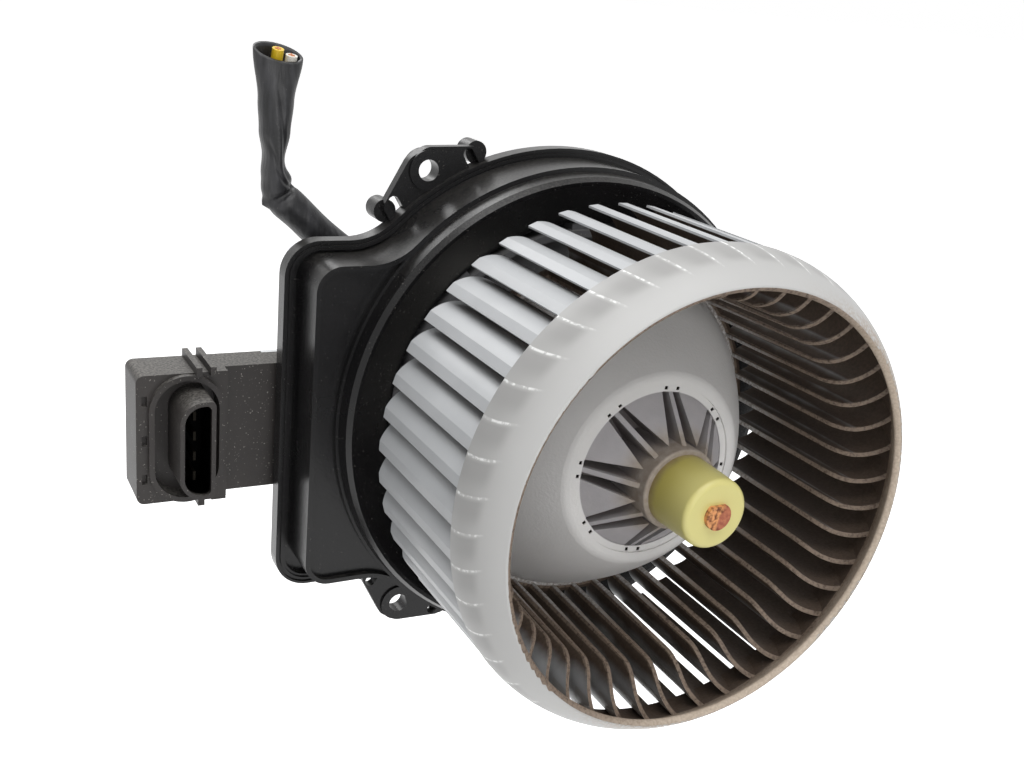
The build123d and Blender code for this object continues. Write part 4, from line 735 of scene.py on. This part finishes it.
sleeve_path = places_on(smooth_curve("sleeve_route", [(x, 0, z) for x, z in ROUTE]))
lengths = [0.0]
for before, after in zip(sleeve_path, sleeve_path[1:]):
    lengths.append(lengths[-1] + (after - before).length)
print("sleeve path:", round(lengths[-1] / MM, 1), "mm")

# %% [markdown]
# ## The sections of the sleeve
#
# The sleeve has been folded over sharply once, so it has a hard corner on its left, a crescent of a crease
# across its front, and above that a pinched stretch that flares to an open mouth. A bevelled curve can't
# change its section like that, and a cloth simulation would not fold where the real one did. So the sleeve
# is a tube of rings along the curve. Each ring has its own width and depth, and the creases press it in.

# %% Sections of the sleeve
# share of the length, half width and half depth in mm
SECTIONS = [(0.0, 5.7, 5.7), (0.50, 5.3, 5.8), (0.575, 5.5, 5.6), (0.603, 5.1, 5.0), (0.625, 4.8, 5.3),
            (0.665, 3.8, 6.2), (0.715, 3.1, 6.7), (0.79, 4.6, 6.6), (0.87, 5.4, 6.0), (1.0, 7.7, 4.6)]
# where a crease starts and ends: share of the length and angle in degrees, then its depth in mm
CREASES = [(0.612, -172.0, 0.94, -78.0, 0.75), (0.612, -168.0, 0.78, -35.0, 0.65),
           (0.615, -175.0, 0.86, -118.0, 0.35)]
CREASE_WIDTH = 11.0
CREASE_BEND = 0.6
CREASE_FADE = 4
# how far each reaches in mm, where it is and how wide it is, both as shares of the length
FOLD_DEPTH, FOLD_SHARE, FOLD_WIDTH = 2.0, 0.607, 0.008
CORNER_REACH, CORNER_WIDTH = 1.3, 0.009
EAR_REACH, EAR_SHARE, EAR_WIDTH = 1.2, 0.655, 0.022


def section_at(share):
    """Half width and half depth of the sleeve at a share of its length, in mm."""
    for (s0, w0, d0), (s1, w1, d1) in zip(SECTIONS, SECTIONS[1:]):
        if share <= s1:
            t = (share - s0) / (s1 - s0)
            t = t * t * (3 - 2 * t)
            return w0 + (w1 - w0) * t, d0 + (d1 - d0) * t
    return SECTIONS[-1][1:]


def near(share, middle, width):
    """1 at the middle, and nearly 0 two widths away from it."""
    return math.exp(-((share - middle) / width) ** 2)


def pressed_in(share, angle):
    """How far the fold and the creases press the wall in at a share of the length and an angle, in mm."""
    front = max(0.0, math.sin(math.radians(-angle)))
    to_left = math.cos(math.radians(angle))
    depth = FOLD_DEPTH * math.sqrt(front) * near(share, FOLD_SHARE, FOLD_WIDTH)
    depth -= CORNER_REACH * max(0.0, to_left) ** 3 * near(share, FOLD_SHARE, CORNER_WIDTH)
    depth -= EAR_REACH * max(0.0, -to_left) ** 3 * near(share, EAR_SHARE, EAR_WIDTH)
    for s0, a0, s1, a1, most in CREASES:
        if s0 <= share <= s1:
            t = (share - s0) / (s1 - s0)
            crease_angle = a0 + (a1 - a0) * t ** CREASE_BEND
            depth += most * near(angle, crease_angle, CREASE_WIDTH) * min(1.0, CREASE_FADE * (1 - t))
    return depth


print("sections:", len(SECTIONS), "creases:", len(CREASES))

# %% [markdown]
# ## The sleeve as a tube of rings
#
# Each ring lies square to the curve, except near the mouth, where it leans forward as the cut does. The wall
# turns inward at the mouth and runs back down a third of the way, so that the opening shows a real thickness.

# %% Rings of the sleeve
RING_POINTS = 64
RING_COUNT = 150
SLEEVE_WALL = 0.9
MOUTH_START = 0.86
MOUTH_LEAN = 0.55
MOUTH_SLANT = 0.12


def at_share(share):
    """Place and direction of the sleeve's centre line at a share of its length."""
    wanted = share * lengths[-1]
    index = max(i for i, length in enumerate(lengths[:-1]) if length <= wanted + 1e-9)
    along = (sleeve_path[index + 1] - sleeve_path[index]).normalized()
    return sleeve_path[index] + along * (wanted - lengths[index]), along


def tube_rings(shrink, shares):
    """Rings of points round the centre line at the given shares of its length."""
    rings = []
    for share in shares:
        centre, along = at_share(share)
        across = along.cross(Vector((0, 1, 0))).normalized()
        width, depth = section_at(share)
        near_mouth = max(0.0, (share - MOUTH_START) / (1 - MOUTH_START)) ** 2
        ring = []
        for k in range(RING_POINTS):
            angle = 360.0 * k / RING_POINTS - 180.0
            inset = (shrink + pressed_in(share, angle)) * MM
            side = (width * MM - inset) * math.cos(math.radians(angle))
            back = (depth * MM - inset) * math.sin(math.radians(angle))
            lift = near_mouth * (MOUTH_LEAN * back + MOUTH_SLANT * side)
            ring.append(centre + across * side + Vector((0, back, 0)) + along * lift)
        rings.append(ring)
    return rings


outer_shares = [i / RING_COUNT for i in range(RING_COUNT + 1)]
inner_shares = [1 - i / RING_COUNT for i in range(RING_COUNT // 3)]
rings = tube_rings(0, outer_shares) + tube_rings(SLEEVE_WALL, inner_shares)
print("rings:", len(rings))

# %% [markdown]
# ## The skin of the sleeve
#
# Four-sided faces join each ring to the next one, point by point. Smooth shading would round off a moulded
# part's edges, but soft plastic has none, so here it hides the small steps between the faces.

# %% Sleeve
sleeve_mesh = bpy.data.meshes.new("sleeve")
vertices = [point for ring in rings for point in ring]
faces = []
for i in range(len(rings) - 1):
    this_ring, next_ring = i * RING_POINTS, (i + 1) * RING_POINTS
    for k in range(RING_POINTS):
        n = (k + 1) % RING_POINTS
        faces.append((this_ring + k, this_ring + n, next_ring + n, next_ring + k))
sleeve_mesh.from_pydata(vertices, [], faces)
sleeve_mesh.polygons.foreach_set("use_smooth", [True] * len(sleeve_mesh.polygons))
sleeve = bpy.data.objects.new("folded_sleeve", sleeve_mesh)
bpy.context.scene.collection.objects.link(sleeve)
print("sleeve:", len(vertices), "points")

# %% [markdown]
# ## The two leads
#
# The leads lie side by side where the sleeve is round, one behind the other where it is pinched, and lean to
# the right side of its mouth, where they tip forward. Each control point therefore has a turn about the
# centre line, in degrees, and a shift to the right and one to the back, in mm. Points placed one by one
# could follow the photograph too, but turns and shifts keep both leads in step with the sleeve.

# %% Route of each lead
LEAD_DIAMETER = 3.6 * MM
LEAD_START_RADIUS = 30.0
LEAD_OFFSET = 2.1
TURNS = [0, 0, 0, 0, 10, 35, 80, 70, 30, 10, 0]
RIGHT_SHIFTS = [0, 0, 0, 0, 0, 0, 0, 0.4, 1.0, 1.4, 1.8]
BACK_SHIFTS = [0, 0, 0, 0, 0.8, 1.8, 0.9, 0, 0, 1.3, -0.9]
# how much is cut off each lead, by its side of the centre line, in mm
END_TRIMS = {1: -1.2, -1: 0.5}
END_TILT = 7.5


def lead_points(side):
    """Control points of a lead on one side of the centre line."""
    start = Vector(ROUTE[0])
    run = (Vector(ROUTE[1]) - start).normalized()
    last_x, last_z = ROUTE[-1]
    line = [tuple(start - run * (start.length - LEAD_START_RADIUS))] + ROUTE[:-1]
    line += [(last_x, last_z - END_TILT), (last_x, last_z - END_TRIMS[side])]
    points = []
    for i, (x, z) in enumerate(line):
        before, after = line[max(i - 1, 0)], line[min(i + 1, len(line) - 1)]
        run = Vector((after[0] - before[0], after[1] - before[1])).normalized()
        turned = math.radians(TURNS[i])
        aside = side * LEAD_OFFSET * math.cos(turned)
        back = side * LEAD_OFFSET * math.sin(turned) + BACK_SHIFTS[i]
        points.append((x - run.y * aside + RIGHT_SHIFTS[i], back, z + run.x * aside))
    return points


print("control points in each lead:", len(lead_points(1)))

# %% [markdown]
# ## The insulation and its copper
#
# A lead keeps its round section all along, so a bevelled curve does for its insulation, where a mesh would
# need rings. The cut ends are in view, so each shows its bundle of strands. Fine cylinders in a spiral,
# each at a slightly different height, look cut rather than moulded.

# %% Leads
LEAD_BEVEL = 6
STRAND_COUNT = 12
STRAND_RADIUS = 0.24
STRAND_LENGTH = 1.0
STRAND_SIDES = 8
STRAND_SPIRAL = 2.4
STRAND_SETBACK = 0.35
STRAND_UNEVENNESS = 0.1
COPPER_RADIUS = 0.95


def copper_strands(name, at_end):
    """Strands in the cut end of a lead, laid out in a spiral and cut a little unevenly."""
    strands = bmesh.new()
    for i in range(STRAND_COUNT):
        angle = STRAND_SPIRAL * i
        reach = COPPER_RADIUS * math.sqrt((i + 0.5) / STRAND_COUNT)
        along = STRAND_UNEVENNESS * math.sin(3.0 * i) - STRAND_SETBACK
        place = Vector((reach * math.cos(angle), reach * math.sin(angle), along)) * MM
        bmesh.ops.create_cone(strands, cap_ends=True, segments=STRAND_SIDES, radius1=STRAND_RADIUS * MM,
                              radius2=STRAND_RADIUS * MM, depth=STRAND_LENGTH * MM,
                              matrix=at_end @ Matrix.Translation(place))
    mesh = bpy.data.meshes.new(name)
    strands.to_mesh(mesh)
    strands.free()
    piece = bpy.data.objects.new(name, mesh)
    bpy.context.scene.collection.objects.link(piece)
    return piece


def lead(name, side):
    """Insulated lead, and the copper strands in its cut end."""
    points = lead_points(side)
    curve = smooth_curve(name, points)
    curve.bevel_depth = LEAD_DIAMETER / 2
    curve.bevel_resolution = LEAD_BEVEL
    curve.use_fill_caps = True
    piece = bpy.data.objects.new(name, curve)
    bpy.context.scene.collection.objects.link(piece)
    before, end = (Vector((x * MM, LEAD_DEPTH + back * MM, z * MM)) for x, back, z in points[-2:])
    at_end = Matrix.Translation(end) @ (end - before).to_track_quat("Z", "Y").to_matrix().to_4x4()
    return piece, copper_strands(name + "_strands", at_end)


yellow, yellow_strands = lead("yellow_wire", 1)
white, white_strands = lead("white_wire", -1)
print("strands in each lead:", STRAND_COUNT)

# %% [markdown]
# ## Finishes of the sleeve and the leads
#
# The sleeve is satin PVC: nearly black, with paler stretch marks along it and a little dust. The marks are
# noise that is stretched along the height of the blower, which is close enough to the sleeve's own line. The
# leads are plain yellow and white PVC, and the function for the inner parts serves them too.

# %% Finishes of the sleeve and the leads
ALONG_SLEEVE = (1, 1, 0.12)
SLEEVE_BLACKS = ((0.013, 0.013, 0.014), (0.040, 0.040, 0.043))
SLEEVE_DUST = (0.24, 0.22, 0.20)
SLEEVE_ROUGHNESS = 0.30
SLEEVE_GLOSS = 0.35
SLEEVE_RELIEF = 0.35

sleeve_finish = Finish("sleeve_pvc")
streaks = noise(sleeve_finish, size=2.2, stretch=ALONG_SLEEVE)
sleeve_cloud = noise(sleeve_finish, size=9.0)
sleeve_grain = noise(sleeve_finish, size=0.7, detail=4.0)
sleeve_colour = blend(rise(streaks + sleeve_cloud * 0.5, 0.55, 1.0), *SLEEVE_BLACKS)
sleeve_colour = blend(rise(sleeve_grain, 0.68, 0.78) * 0.35, sleeve_colour, SLEEVE_DUST)
sleeve_finish.set(Base_Color=sleeve_colour, Roughness=sleeve_cloud * 0.2 + SLEEVE_ROUGHNESS,
                  Specular_IOR_Level=SLEEVE_GLOSS,
                  Normal=bump(sleeve_finish, streaks + sleeve_grain * 0.15, SLEEVE_RELIEF))
yellow_finish = worked("yellow_pvc", (0.70, 0.44, 0.01), (0.82, 0.60, 0.03), 0.35, 0.0)
white_finish = worked("white_pvc", (0.70, 0.66, 0.58), (0.82, 0.80, 0.74), 0.35, 0.0)
LEAD_FINISHES = [(sleeve, sleeve_finish), (yellow, yellow_finish), (white, white_finish),
                 (yellow_strands, copper), (white_strands, copper)]
for piece, finish in LEAD_FINISHES:
    piece.data.materials.append(finish.material)
print("finishes of the sleeve and the leads:", len(LEAD_FINISHES))

# %% [markdown]
# ## The leads in the frame
#
# The new pieces ride on the housing and stand in for the three plain tubes of the CAD model, which are
# hidden. The sleeve is a mesh, so its path goes with it, while a lead's own curve says where it runs.

for piece in (yellow, white, yellow_strands, white_strands):
    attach(piece, "housing")
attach(sleeve, "housing")
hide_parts("wire_sleeve")
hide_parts("yellow_lead")
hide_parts("white_lead")
